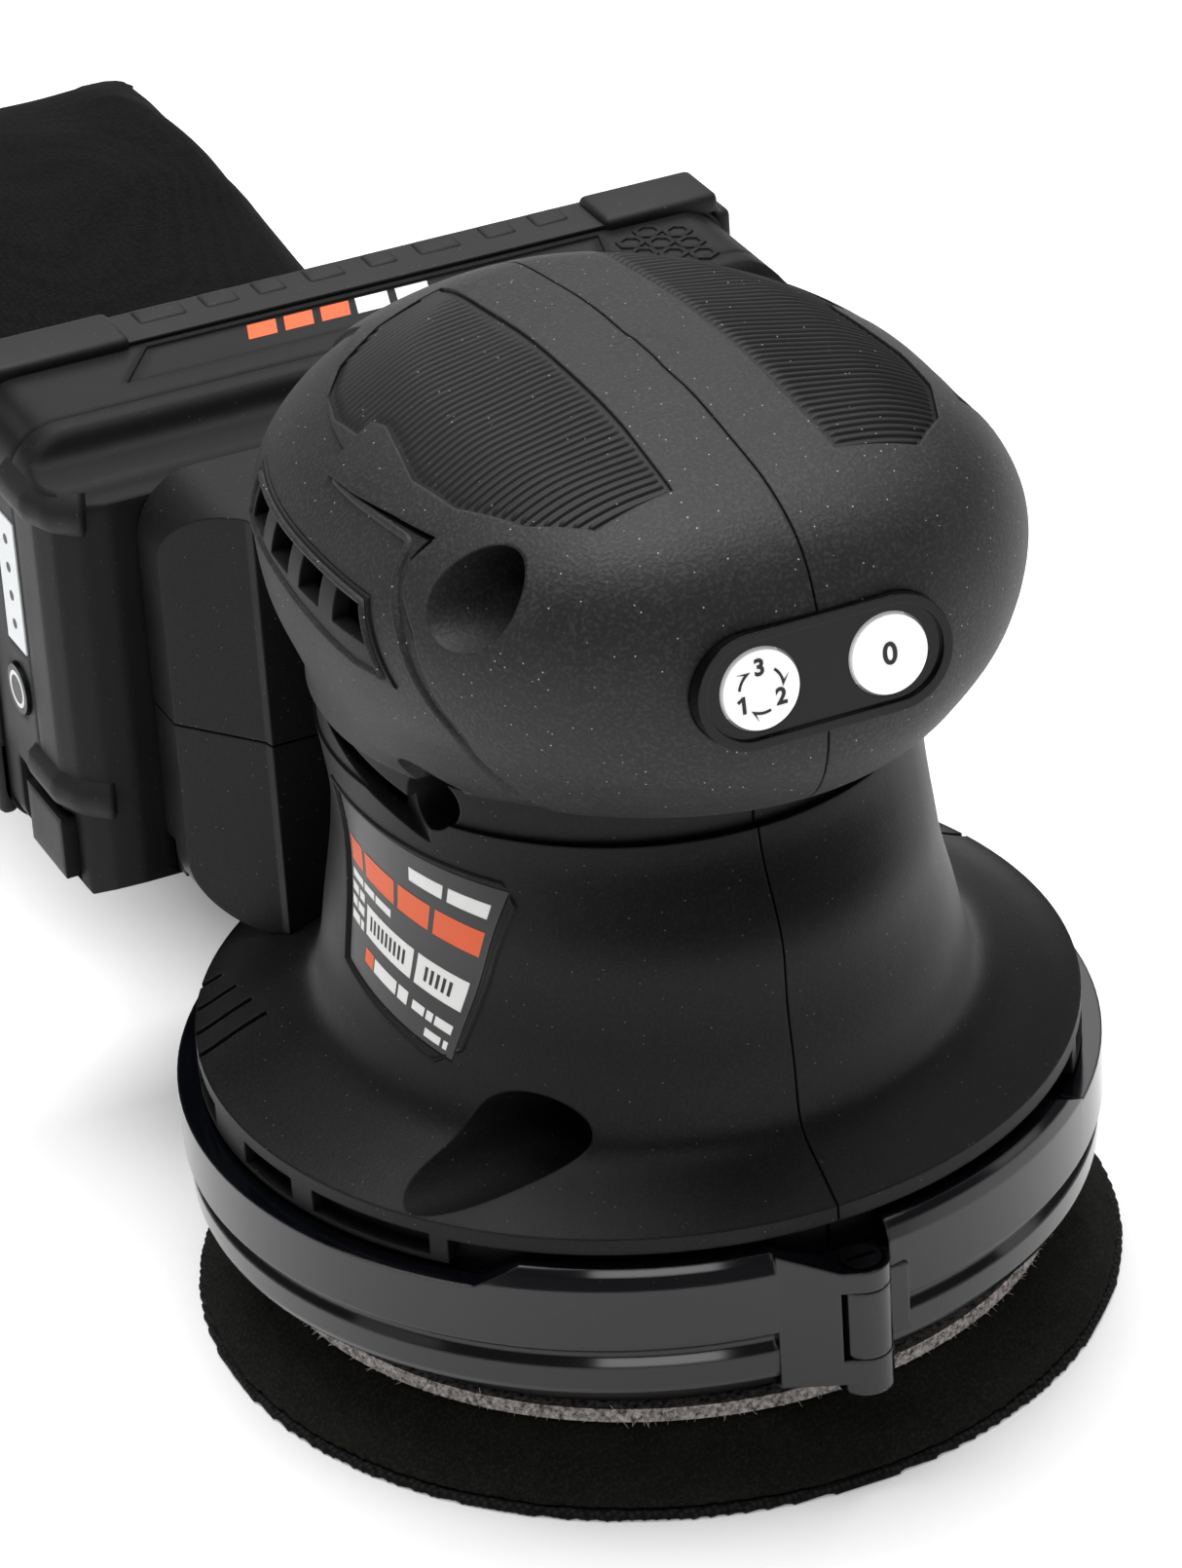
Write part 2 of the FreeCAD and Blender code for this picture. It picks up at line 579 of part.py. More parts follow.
pin = fuse([cyl(1.5, 16.4, LUG_SEAT, HINGE_X, HINGE_Y), cyl(2.7, LUG_SEAT, LUG_SEAT + 1.7, HINGE_X, HINGE_Y)])
pin = pin.cut(box(HINGE_X - 2, HINGE_X + 2, HINGE_Y - 0.35, HINGE_Y + 0.35, LUG_SEAT + 0.9, 38))
export("shroud_clamp_screw", pin)

# ================================================================ head
head_outer = skin(HEAD_RINGS, 0.0)
head_cavity = skin(((HEAD_BOTTOM - 2, 39.9, -41.6, 41.4, 0.0, 2.0, 2.1),) + HEAD_RINGS[1:], HEAD_WALL)
grip_left = prism_z(mirror_x(GRIP), 120, 150)
grip_right = prism_z(GRIP, 120, 150)
flank = prism_x(FLANK, -60, -20)
under_grip = skin(HEAD_RINGS, 1.8)
under_flank = skin(HEAD_RINGS, 0.8)
under_line = skin(HEAD_RINGS, 1.7)
grille_zone = prism_x(GRILLE, -60, -30)


def panel_frame(shape):
    """Place a shape drawn facing -Y about the origin on the sloping front."""
    shape.rotate(V(), V(1, 0, 0), -PANEL_TILT)
    shape.translate(V(0, PANEL_Y, PANEL_Z))
    return shape


def panel_plate(w, h, y0, y1):
    return panel_frame(stadium_y(w / 2.0, h / 2.0, y0, y1, 0.0))


def panel_disc(r, y0, y1, x, z=0.0):
    return panel_frame(cyl_y(r, y0, y1, x, z))


posts = []
recesses = []
for radius, floor, y, z in SCREWS[:1]:
    posts.append(cyl_x(radius + 2.2, -60, floor + 2.5, y, z))
    posts.append(cyl_x(POST_R, floor, -SEAM / 2, y, z))
    posts.append(cyl_x(POST_R, SEAM / 2, 60, y, z))
    recesses.append(cyl_x(radius, -90, floor, y, z))
    recesses.append(cyl_x(HOUSE_SCREW_R + 0.02, floor - 1, HOUSE_SCREW_END + 1, y, z))
inside = fuse([p.common(head_outer) for p in posts])
head = fuse([head_outer.cut(head_cavity), inside])
head = head.cut(fuse([grip_left, grip_right]).cut(under_grip))
sunk = flank.cut(under_flank)
line = prism_x(FLANK_LINE, -60, -8).cut(under_line)
head = cut(head, [sunk, mirrored(sunk), line, mirrored(line), grille_zone, mirrored(grille_zone)])
head = cut(head, recesses + [
    panel_plate(PANEL_W + 0.1, PANEL_H + 0.1, -4, 12),
    cyl_x(5.0, -60, -31.5, -22.4, 92.6),
])
head_left, head_right = halves(head)
export("head_shell_left", head_left)
export("head_shell_right", head_right)

pad_zone = skin(HEAD_RINGS, 0.5).cut(skin(HEAD_RINGS, 1.75))
shrunk = [(x * 0.996 + 0.06, y * 0.996) for x, y in GRIP]
export("grip_pad_left", pad_zone.common(prism_z(mirror_x(shrunk), 120, 150)))
export("grip_pad_right", pad_zone.common(prism_z(shrunk, 120, 150)))

frame_plate = skin(HEAD_RINGS, 0.5).cut(skin(HEAD_RINGS, HEAD_WALL - 0.2))
small = [(y * 0.996 - 0.03, 118.0 + (z - 118.0) * 0.99) for y, z in GRILLE]
grille = frame_plate.common(prism_x(small, -60, -30))
grille = cut(grille, [prism_x(w, -60, -30) for w in WINDOWS])
export("vent_grille_left", grille)
export("vent_grille_right", mirrored(grille))

screws = []
for radius, floor, y, z in SCREWS:
    head_part = cyl_x(HOUSE_HEAD_R, floor - 2.4, floor, y, z)
    cross = fuse([
        box(floor - 3, floor - 1.2, y - 2.0, y + 2.0, z - 0.45, z + 0.45),
        box(floor - 3, floor - 1.2, y - 0.45, y + 0.45, z - 2.0, z + 2.0),
    ])
    screws.append(head_part.cut(cross).fuse(cyl_x(HOUSE_SCREW_R, floor, HOUSE_SCREW_END, y, z)))
export("housing_screws", Part.makeCompound(screws))

# ================================================================ switch panel
bezel = panel_plate(PANEL_W, PANEL_H, -PANEL_PROUD, PANEL_DEPTH)
field = panel_plate(PANEL_W - 2.4, PANEL_H - 2.4, -PANEL_PROUD - 1, -PANEL_PROUD + 0.6)
board_y = 9.0
stands = [panel_disc(1.5, PANEL_DEPTH - 0.5, board_y, 0.0, z) for z in (-4.6, 4.6)]
bores = [panel_disc(BUTTON_R + LOOSE, -4, 8, x) for x in (-BUTTON_X, BUTTON_X)]
export("switch_bezel", cut(fuse([bezel] + stands), [field] + bores))
for name, x in (("speed_button", -BUTTON_X), ("off_button", BUTTON_X)):
    cap = panel_disc(BUTTON_R, -PANEL_PROUD + 0.2, PANEL_DEPTH + 1.8, x)
    flange = panel_disc(BUTTON_R + 1.2, PANEL_DEPTH + LOOSE, PANEL_DEPTH + 1.8, x)
    export(name, fuse([cap, flange]))
board = panel_plate(36.0, 13.6, board_y, board_y + 1.6)
taps = [panel_disc(2.0, board_y - 2.4, board_y + 0.2, x) for x in (-BUTTON_X, BUTTON_X)]
export("switch_board", fuse([board] + taps))

chips = [box(-12, -4, -9, 3, 105.6, 109), box(2, 13, -10, -2, 105.6, 112), cyl(4, 105.6, 118, 5, 8)]
export("controller_board", fuse([box(-20, 20, -20, 20, 104.0, 105.6)] + chips))

# ================================================================ battery foot
foot = rounded_box(-FOOT_X, FOOT_X, FOOT_Y[0], FOOT_Y[1], FOOT_Z[0], FOOT_Z[1], 9.0, V(0, 1, 0))
for side in (-1.0, 1.0):
    corner = prism_z(((side * 34.5, 20), (side * 60, 20), (side * 60, 46), (side * 46.5, 43.5),
                      (side * 37.0, 31.5)), 30, 120)
    foot = foot.cut(corner)
keep_out = [skin(HEAD_RINGS, -0.25), skin(BODY_RINGS, -0.1),
            Part.Face(oval(40.3, -42.0, 42.0, 80, 2.0, 2.1)).extrude(V(0, 0, 14))]
foot = cut(foot, keep_out + [cyl(58.6, 20, 41.2)])
rail = fuse([
    box(-RAIL_X, RAIL_X, FOOT_Y[1] - 1, RAIL_Y[0], RAIL_NECK_Z[0], RAIL_NECK_Z[1]),
    box(-RAIL_X, RAIL_X, RAIL_Y[0], RAIL_Y[1], RAIL_HEAD_Z[0], RAIL_HEAD_Z[1]),
])
notch = box(-60, -37.9, 47.0, 51, 47.2, 54.0)
foot = cut(fuse([foot, rail]), [notch])
block_zone = box(-12, 20, 46.4, RAIL_Y[1], 62.0, 90.0)
foot = foot.cut(block_zone)
upper = foot.common(box(-60, 60, 0, 80, FOOT_SEAM_Z + SEAM / 2, 120))
lower = foot.common(box(-60, 60, 0, 80, 30, FOOT_SEAM_Z - SEAM / 2))
export("foot_upper", upper)
export("foot_lower", lower)
block = box(-12 + SNUG, 20 - SNUG, 46.4 + SNUG, RAIL_Y[1], 62.0 + SNUG, 90.0 - SNUG)
blades = []
for z in BLADE_Z:
    blades.append(box(BLADE_X[0], BLADE_X[1], 50.0, BLADE_END, z - BLADE_T / 2, z + BLADE_T / 2))
export("terminal_block", cut(block, blades))
export("terminal_blades", Part.makeCompound(blades))

# ================================================================ battery
def pack(x_grow, y0, y1, z_grow=None):
    """The pack outline between two depths, grown outward."""
    z_grow = x_grow if z_grow is None else z_grow
    return rounded_box(BAT_X[0] - x_grow, BAT_X[1] + x_grow, y0, y1,
                       BAT_Z[0] - z_grow, BAT_Z[1] + z_grow, BAT_CORNER + x_grow, V(0, 1, 0))


front = pack(0.0, BAT_Y[0], BAT_Y[1] - 0.1)
step = prism_x(((45, BAT_FRONT_TOP), (52.4, BAT_FRONT_TOP), (54.4, BAT_FRONT_TOP + 1.6),
                (60.6, BAT_FRONT_TOP + 2.6), (62.6, BAT_Z[1] + 0.1), (62.6, 125), (45, 125)), -70, 70)
under = prism_x(((45, 46.6), (BAT_Y[0], 46.6), (60.5, 41.6), (60.5, 35), (45, 35)), -70, 70)
front = cut(front, [step, under])
for side, x in ((-1.0, BAT_X[0]), (1.0, BAT_X[1])):
    edge = prism_z(((x + side, 40), (x - side * 8.0, 40), (x - side * 8.0, BAT_Y[0]),
                    (x - side * 4.2, BAT_Y[0] + 1.4), (x - side * 1.4, BAT_Y[0] + 4.2),
                    (x, BAT_Y[0] + 8.0), (x + side, BAT_Y[0] + 8.0)), 30, 120)
    front = front.cut(edge)
gap = LOOSE
slot_tools = [
    box(-RAIL_X - gap, 70, 45, RAIL_Y[0] + 1, RAIL_NECK_Z[0] - gap, RAIL_NECK_Z[1] + gap),
    box(-RAIL_X - gap, 70, RAIL_Y[0] - gap, RAIL_Y[1] + gap, RAIL_HEAD_Z[0] - gap, RAIL_HEAD_Z[1] + gap),
    box(-46, 46, 62.5, 70, 46.0, 105.0),
]
clip = 0.6
clip_half = BLADE_T / 2 + LOOSE + clip
for z in BLADE_Z:
    slot_tools.append(box(BLADE_X[0] - 2, 70, RAIL_Y[1], 62.6, z - clip_half, z + clip_half))
latch_room = [
    box(BAT_X[0] - 13, LATCH_X - gap + 0.8, 56.5, 76.0, 46.0, 56.4),
    box(LATCH_X - 6, -37.9, 56.5, 62.2, 47.2, 54.0),
    box(-44.6, -37.9, 40, 62.2, 47.2, 54.0),
]
front = cut(front, slot_tools + latch_room)
low_x = BAT_X[0] + 6.2
high_x = BAT_X[1] - 5.6
screw_spots = [(low_x, 103.0), (high_x, 103.0), (high_x, 51.0), (low_x, 61.0)]
front = cut(front, [cyl_y(HOUSE_SCREW_R + 0.02, 56.4, 80, x, z) for x, z in screw_spots])
export("battery_front_case", front)

back = pack(0.0, BAT_Y[1], BAT_Y[2])
room = box(BAT_X[0] + 3.4, BAT_X[1] - 3.4, BAT_Y[1] - 1, CELL_Y + CELL_R + 0.1, BAT_Z[0] + 1.7, BAT_Z[1] - 1.5)
head_y = BAT_Y[2] - 2.2
pillars = [cyl_y(3.5, BAT_Y[1], head_y, x, z) for x, z in screw_spots]
back = fuse([back.cut(room)] + [p.common(pack(-0.5, 60, 87)) for p in pillars])
panel_outline = ((-37.5, 71.5), (34.0, 71.5), (36.5, 80.8), (-31.0, 80.8))
panel_pocket = prism_z(panel_outline, BAT_Z[1] - 0.9, BAT_Z[1] + 2)
button_bore = cyl_x(GAUGE_R + LOOSE, BAT_X[0] - 3, BAT_X[0] + 3.0, GAUGE_Y, GAUGE_Z)
window_room = box(BAT_X[0] - 3, BAT_X[0] + 1.0, 66.8, 74.0, 76.0, 96.0)
back = cut(back, latch_room + [panel_pocket, button_bore, window_room]
           + [cyl_y(HOUSE_SCREW_R + 0.02, 60, 92, x, z) for x, z in screw_spots]
           + [cyl_y(HOUSE_HEAD_R + 0.2, head_y, 92, x, z) for x, z in screw_spots])
export("battery_back_case", back)

case_screws = []
for x, z in screw_spots:
    stem = cyl_y(HOUSE_SCREW_R, 57.0, head_y, x, z)
    screw_head = cyl_y(HOUSE_HEAD_R, head_y, BAT_Y[2], x, z).cut(cyl_y(1.4, head_y + 0.8, 95, x, z))
    case_screws.append(screw_head.fuse(stem))
export("battery_screws", Part.makeCompound(case_screws))

collar = pack(0.7, RIM_Y[0], RIM_Y[1], 0.6).cut(pack(SNUG, RIM_Y[0] - 1, BAT_Y[2] + SNUG))
collar = cut(collar, [pack(-6.0, BAT_Y[2] - 1, RIM_Y[1] + 1)]
             + [cyl_y(HOUSE_HEAD_R + 0.5, 80, 95, x, z) for x, z in screw_spots])
export("battery_bumper", collar)
tag = [(x * 0.997, y * 0.997 + 0.23) for x, y in panel_outline]
export("battery_top_panel", prism_z(tag, BAT_Z[1] - 0.9, BAT_Z[1] - 0.3))
export("gauge_window", box(BAT_X[0] - 0.2, BAT_X[0] + 1.0, 66.9, 73.9, 76.1, 95.9))
export("gauge_button", cyl_x(GAUGE_R, BAT_X[0] - 0.6, BAT_X[0] + 2.4, GAUGE_Y, GAUGE_Z))
latch = fuse([
    box(BAT_X[0] - 1.2, LATCH_X, 57.0, 70.0, 46.6, 55.8),
    box(LATCH_X - 0.1, -44.2, 57.0, 58.4, 47.6, 53.6),
    box(-44.3, -38.3, 47.6, 58.4, 47.6, 53.6),
])
export("latch_button", latch)

cells = [cyl(CELL_R, CELL_Z[0], CELL_Z[1], CELL_PITCH * i, CELL_Y) for i in range(-2, 3)]
export("battery_cells", Part.makeCompound(cells))
saddle = box(-46.0, 46.0, 64.2, 75.5, 60.0, 92.0)
saddle = cut(saddle, [cyl(CELL_R + 0.02, 40, 110, CELL_PITCH * i, CELL_Y) for i in range(-2, 3)])
export("cell_holder", saddle)
export("battery_board", box(-40, 40, 62.55, 64.15, 60, 92))
clips = []
for z in BLADE_Z:
    for side in (-1.0, 1.0):
        inner = z + side * (BLADE_T / 2 + LOOSE)
        outer = z + side * (clip_half - 0.02)
        clips.append(box(-4, 10, 57.6, 62.5, min(inner, outer), max(inner, outer)))
export("battery_terminals", Part.makeCompound(clips))

# ================================================================ dust outlet
half_w, half_h = DUCT_HALF
duct = fuse([
    stadium_y(half_w, half_h, 45, DUCT_END, DUCT_Z).cut(cyl(SPIGOT_IN + 0.1, 10, 50)),
    stadium_y(half_w + 2.6, half_h + 2.4, 61.8, 63.4, DUCT_Z),
])
duct = duct.cut(stadium_y(half_w - DUCT_WALL, half_h - DUCT_WALL, 40, 110, DUCT_Z))
export("dust_duct", duct)
inner_w = half_w + 0.1
inner_h = half_h + 0.1
sleeve = fuse([
    stadium_y(inner_w + COLLAR_WALL, inner_h + COLLAR_WALL, COLLAR_Y[0], COLLAR_Y[1], DUCT_Z),
    stadium_y(26.0, 13.5, 97.0, COLLAR_Y[1], DUCT_Z + 0.5),
])
export("bag_collar", sleeve.cut(stadium_y(inner_w, inner_h, 60, 110, DUCT_Z)))


def bag_section(y, half_w, half_h, z):
    points = []
    for i in range(20):
        t = 2.0 * math.pi * (i + 0.5) / 20
        across = math.copysign(abs(math.cos(t)) ** 0.77, math.cos(t))
        up = math.copysign(abs(math.sin(t)) ** 0.77, math.sin(t))
        points.append(V(half_w * across, y, z + half_h * up))
    curve = Part.BSplineCurve()
    curve.interpolate(Points=points, PeriodicFlag=True)
    return Part.Wire([curve.toShape()])


bag = Part.makeLoft([bag_section(*s) for s in BAG_SECTIONS], True, False)
export("dust_bag", bag)
clip_y = (264.0, 280.0)
end_clip = box(-39.6, 39.6, clip_y[0], clip_y[1], 47.0, 57.0)
grown = [bag_section(y, w + 0.3, h + 0.3, z) for y, w, h, z in BAG_SECTIONS[-4:]]
export("bag_end_clip", end_clip.cut(Part.makeLoft(grown, True, False)))
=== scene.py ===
import math
import random

import bmesh
import bpy
from mathutils import Matrix, Vector, noise
from mathutils.bvhtree import BVHTree


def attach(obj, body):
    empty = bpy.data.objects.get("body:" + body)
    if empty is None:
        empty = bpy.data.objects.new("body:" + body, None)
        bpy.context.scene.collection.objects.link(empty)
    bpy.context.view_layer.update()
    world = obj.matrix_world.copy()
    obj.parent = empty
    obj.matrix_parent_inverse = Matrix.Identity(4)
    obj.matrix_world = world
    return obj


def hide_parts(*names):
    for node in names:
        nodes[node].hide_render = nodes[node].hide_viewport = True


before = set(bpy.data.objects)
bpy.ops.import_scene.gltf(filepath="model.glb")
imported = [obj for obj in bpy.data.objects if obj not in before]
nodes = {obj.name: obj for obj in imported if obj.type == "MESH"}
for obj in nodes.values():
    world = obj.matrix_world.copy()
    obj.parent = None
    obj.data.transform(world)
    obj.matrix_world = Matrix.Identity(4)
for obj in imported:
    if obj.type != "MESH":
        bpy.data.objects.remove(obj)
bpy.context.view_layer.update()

MM = 0.001


# ---------------------------------------------------------------- finishes
def srgb(code):
    """A hex colour as linear RGBA."""
    out = []
    for i in (0, 2, 4):
        c = int(code[i:i + 2], 16) / 255.0
        out.append(c / 12.92 if c <= 0.04045 else ((c + 0.055) / 1.055) ** 2.4)
    return (*out, 1.0)


def add(tree, kind, inputs=None, **settings):
    """Adds one node, sets its properties, and sets or links its inputs."""
    made = tree.nodes.new("ShaderNode" + kind)
    for key, value in settings.items():
        setattr(made, key, value)
    for key, value in (inputs or {}).items():
        if isinstance(value, bpy.types.NodeSocket):
            tree.links.new(value, made.inputs[key])
        else:
            made.inputs[key].default_value = value
    return made


def finish(name, **shader):
    """A material with a Principled shader, its tree, its shader and Object coordinates."""
    material = bpy.data.materials.new(name)
    material.use_nodes = True
    tree = material.node_tree
    surface = tree.nodes["Principled BSDF"]
    for key, value in shader.items():
        surface.inputs[key.replace("_", " ")].default_value = value
    place = add(tree, "TexCoord").outputs["Object"]
    return material, tree, surface, place


def ramp(tree, factor, low, high, first, second):
    """Blends two colours as factor passes from low to high."""
    spread = add(tree, "MapRange", {"Value": factor, "From Min": low, "From Max": high})
    mix = add(tree, "Mix", {"Factor": spread.outputs["Result"]}, data_type="RGBA")
    for socket, value in ((mix.inputs[6], first), (mix.inputs[7], second)):
        if isinstance(value, bpy.types.NodeSocket):
            tree.links.new(value, socket)
        else:
            socket.default_value = value
    return mix.outputs[2]


def vary(tree, surface, factor, low, high, socket="Roughness"):
    """Lets a value wander between low and high with factor."""
    spread = add(tree, "MapRange", {"Value": factor, "From Min": 0.3, "From Max": 0.7, "To Min": low, "To Max": high})
    tree.links.new(spread.outputs["Result"], surface.inputs[socket])


def speckle(tree, place, cell, size):
    """1 on sparse dust specks of about size millimetres, one or so per few cells."""
    cells = add(tree, "TexVoronoi", {"Vector": place, "Scale": 1.0 / (cell * MM)})
    return add(tree, "MapRange", {"Value": cells.outputs["Distance"], "From Min": 0.6 * size / cell,
                                  "From Max": 0.4 * size / cell}).outputs["Result"]


def moulded(name, colour, lighter, roughness, grain, depth, dust=0.0, edge=0.35, pebble="", **shader):
    """A moulded surface: slight cloudiness, a fine mould grain, softened edges, and pebbling and dust if given."""
    material, tree, surface, place = finish(name, **shader)
    cloud = add(tree, "TexNoise", {"Vector": place, "Scale": 1 / (22 * MM), "Detail": 4.0}).outputs["Fac"]
    colour_out = ramp(tree, cloud, 0.35, 0.65, srgb(colour), srgb(lighter))
    fine = add(tree, "TexNoise", {"Vector": place, "Scale": 1 / (grain * MM), "Detail": 3.0}).outputs["Fac"]
    if pebble:
        colour_out = ramp(tree, fine, 0.48, 0.66, colour_out, srgb(pebble))
    if dust:
        specks = speckle(tree, place, 1.6, 0.2)
        keep = add(tree, "Math", {0: specks, 1: dust}, operation="MULTIPLY").outputs[0]
        colour_out = ramp(tree, keep, 0.0, 1.0, colour_out, srgb("b9b9b4"))
    tree.links.new(colour_out, surface.inputs["Base Color"])
    vary(tree, surface, cloud, roughness - 0.04, roughness + 0.05)
    soft = add(tree, "Bevel", {"Radius": edge * MM}, samples=4).outputs["Normal"]
    bump = add(tree, "Bump", {"Height": fine, "Strength": 1.0, "Distance": depth * MM, "Normal": soft})
    tree.links.new(bump.outputs["Normal"], surface.inputs["Normal"])
    return material


# Soft-touch TPE over-moulding, sand-blasted mould: dark, matt, finely pebbled, holds dust
soft_touch = moulded("soft_touch_tpe", "1c1c1d", "242425", 0.56, 0.5, 0.09, 0.9, 0.5, "323233", Specular_IOR_Level=0.34)
# The ribbed inlay is the same TPE from a smoother mould, a little darker
grip_tpe = moulded("ribbed_tpe", "161616", "1c1c1c", 0.55, 0.5, 0.01, 0.6, 0.1, Specular_IOR_Level=0.32)
# Glass-filled ABS, fine spark-eroded mould: black with a low satin sheen
body_abs = moulded("moulded_abs", "101011", "151516", 0.46, 0.4, 0.03, 0.2, 0.45, "1b1b1c", Specular_IOR_Level=0.17)
# Battery ABS: the same, with wide soft edges
pack_abs = moulded("battery_abs", "101011", "161617", 0.5, 0.4, 0.02, 0.1, 2.4, Specular_IOR_Level=0.17)
# Over-moulded rubber rim of the battery
rim_rubber = moulded("rim_rubber", "121212", "181818", 0.6, 0.4, 0.02, 0.2, 0.6, Specular_IOR_Level=0.35)
# Smoke-tinted polycarbonate, polished mould: glossy blue-black with crisp reflections
smoke_pc = moulded("smoked_polycarbonate", "06070a", "090a0f", 0.1, 2.5, 0.002, 0.05, 0.55,
                   IOR=1.52)
# Switch surround: polished ABS
switch_abs = moulded("polished_abs", "070708", "0a0a0b", 0.24, 1.0, 0.002, 0.03, 0.25, Specular_IOR_Level=0.3)
# White printed button film: satin; painted glow: a little emission of its own holds it at a clean white, brighter than
# the lamps alone would make it
glowing_white_film = moulded("white_button_film_glowing", "fafaf8", "fdfdfc", 0.5, 0.6, 0.002, 0.0, 0.1, IOR=1.5,
                     Emission_Color=(1.0, 1.0, 1.0, 1.0), Emission_Strength=0.3)
# Printed label film: black, smooth, slight sheen
label_film = moulded("label_film", "161617", "1b1b1c", 0.34, 0.8, 0.003, 0.0, 0.08, IOR=1.5)
# Opaque printing inks
orange_ink = moulded("orange_ink", "ee5a22", "f26328", 0.45, 0.5, 0.002, 0.0, 0.05, IOR=1.5)
white_ink = moulded("white_ink", "eeeeec", "f6f6f4", 0.45, 0.5, 0.002, 0.0, 0.05, IOR=1.5)
black_ink = moulded("black_ink", "161616", "1c1c1c", 0.5, 0.5, 0.002, 0.0, 0.05, IOR=1.5)
# Nitrile rubber seal: near black, dull
seal_rubber = moulded("seal_rubber", "0d0d0e", "121213", 0.5, 0.5, 0.01, 0.1, 0.2, IOR=1.5)
# Glass-filled nylon for the fan, backing plate and holders
nylon = moulded("filled_nylon", "18181a", "202022", 0.5, 0.4, 0.01, 0.1, 0.3, IOR=1.53)
# Milky light guide over the charge lamps
light_guide = moulded("milky_acrylic", "dfe3e6", "eef1f2", 0.25, 1.0, 0.001, 0.0, 0.1, IOR=1.49)
# Solder mask, cell sleeve
solder_mask = moulded("solder_mask", "0c3a20", "104526", 0.3, 0.6, 0.003, 0.0, 0.05, IOR=1.5)
cell_sleeve = moulded("cell_sleeve", "17407f", "1c4a90", 0.25, 1.0, 0.002, 0.0, 0.1, IOR=1.5)


def metal(name, colour, lighter, roughness, grain, depth):
    """A machined, cast or drawn metal: fine streaks and slight stains."""
    material, tree, surface, place = finish(name, Metallic=1.0)
    cloud = add(tree, "TexNoise", {"Vector": place, "Scale": 1 / (6 * MM), "Detail": 3.0}).outputs["Fac"]
    tree.links.new(ramp(tree, cloud, 0.35, 0.65, srgb(colour), srgb(lighter)), surface.inputs["Base Color"])
    vary(tree, surface, cloud, roughness - 0.06, roughness + 0.08)
    fine = add(tree, "TexNoise", {"Vector": place, "Scale": 1 / (grain * MM), "Detail": 2.0}).outputs["Fac"]
    bump = add(tree, "Bump", {"Height": fine, "Strength": 0.6, "Distance": depth * MM})
    tree.links.new(bump.outputs["Normal"], surface.inputs["Normal"])
    return material


ground_steel = metal("ground_steel", "a9abad", "c2c4c6", 0.25, 0.4, 0.003)
black_oxide = metal("black_oxide_steel", "26272a", "35363a", 0.38, 0.3, 0.004)
cast_alloy = metal("die_cast_aluminium", "a3a5a8", "b6b8bb", 0.42, 0.8, 0.01)
enamel_wire = metal("enamelled_copper", "9c4a1e", "b45a2a", 0.3, 0.6, 0.02)
nickel = metal("nickel_plate", "8c8a84", "a09e98", 0.22, 0.6, 0.003)

FINISHES = {
    soft_touch: ("head_shell_left", "head_shell_right"),
    grip_tpe: ("grip_pad_left", "grip_pad_right"),
    body_abs: ("body_shell_left", "body_shell_right", "foot_upper", "foot_lower", "vent_grille_left",
               "vent_grille_right", "dust_duct", "bag_collar", "bag_end_clip"),
    pack_abs: ("battery_front_case", "battery_back_case", "battery_top_panel", "latch_button"),
    rim_rubber: ("battery_bumper",),
    smoke_pc: ("shroud_left", "shroud_right"),
    switch_abs: ("switch_bezel",),
    # the button discs take the self-lit film: a painted glow, not a lamp
    glowing_white_film: ("speed_button", "off_button"),
    label_film: ("rating_label",),
    seal_rubber: ("seal_ring", "pad_foam"),
    nylon: ("fan", "backing_plate", "terminal_block", "cell_holder", "pad_hook_face", "dust_bag"),
    light_guide: ("gauge_window",),
    solder_mask: ("switch_board", "controller_board", "battery_board"),
    cell_sleeve: ("battery_cells",),
    ground_steel: ("motor_shaft", "upper_bearing", "lower_bearing", "eccentric_bearing", "pad_spindle",
                   "terminal_blades", "battery_terminals", "motor_can", "stator_core", "rotor_core"),
    black_oxide: ("housing_screws", "shroud_clamp_screw", "pad_screws", "battery_screws", "gauge_button"),
    cast_alloy: ("lower_bearing_plate", "upper_bearing_plate", "counterweight"),
    enamel_wire: ("stator_windings",),
    nickel: ("rotor_magnets",),
}
for material, names in FINISHES.items():
    for name in names:
        slots = nodes[name].data.materials
        if not len(slots):
            slots.append(material)
        for i in range(len(slots)):
            slots[i] = material


# ---------------------------------------------------------------- mesh tools
def piece(name, bm, body, slot, *materials, smooth=True):
    """Makes a finished piece of a bmesh and lets it ride on a body."""
    mesh = bpy.data.meshes.new(name)
    bm.to_mesh(mesh)
    bm.free()
    for material in materials:
        mesh.materials.append(material)
    for polygon in mesh.polygons:
        polygon.use_smooth = smooth
    made = bpy.data.objects.new(name, mesh)
    bpy.context.scene.collection.objects.link(made)
    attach(made, body)
    return made


def skin_of(*names):
    """A tree for finding points on the surfaces of CAD nodes."""
    bm = bmesh.new()
    for name in names:
        bm.from_mesh(nodes[name].data)
    tree = BVHTree.FromBMesh(bm)
    bm.free()
    return tree


def hit(tree, start, way):
    """Where a line from start along way first meets the surface, and the normal there."""
    spot, normal, _, _ = tree.ray_cast(Vector(start), Vector(way))
    return spot, normal


# ---------------------------------------------------------------- camera
AZIMUTH = math.radians(-23.04)
ELEVATION = math.radians(29.51)
ROLL = math.radians(-3.79)
back = Vector((math.sin(AZIMUTH) * math.cos(ELEVATION), -math.cos(AZIMUTH) * math.cos(ELEVATION),
               math.sin(ELEVATION)))
right = Vector((math.cos(AZIMUTH), math.sin(AZIMUTH), 0.0))
up = back.cross(right)
camera = bpy.data.objects.new("camera", bpy.data.cameras.new("camera"))
bpy.context.scene.collection.objects.link(camera)
turn = Matrix((
    math.cos(ROLL) * right + math.sin(ROLL) * up,
    -math.sin(ROLL) * right + math.cos(ROLL) * up,
    back,
)).transposed().to_4x4()
camera.matrix_world = Matrix.Translation((-0.2809, -0.6501, 0.4736)) @ turn
camera.data.sensor_width = 36.0
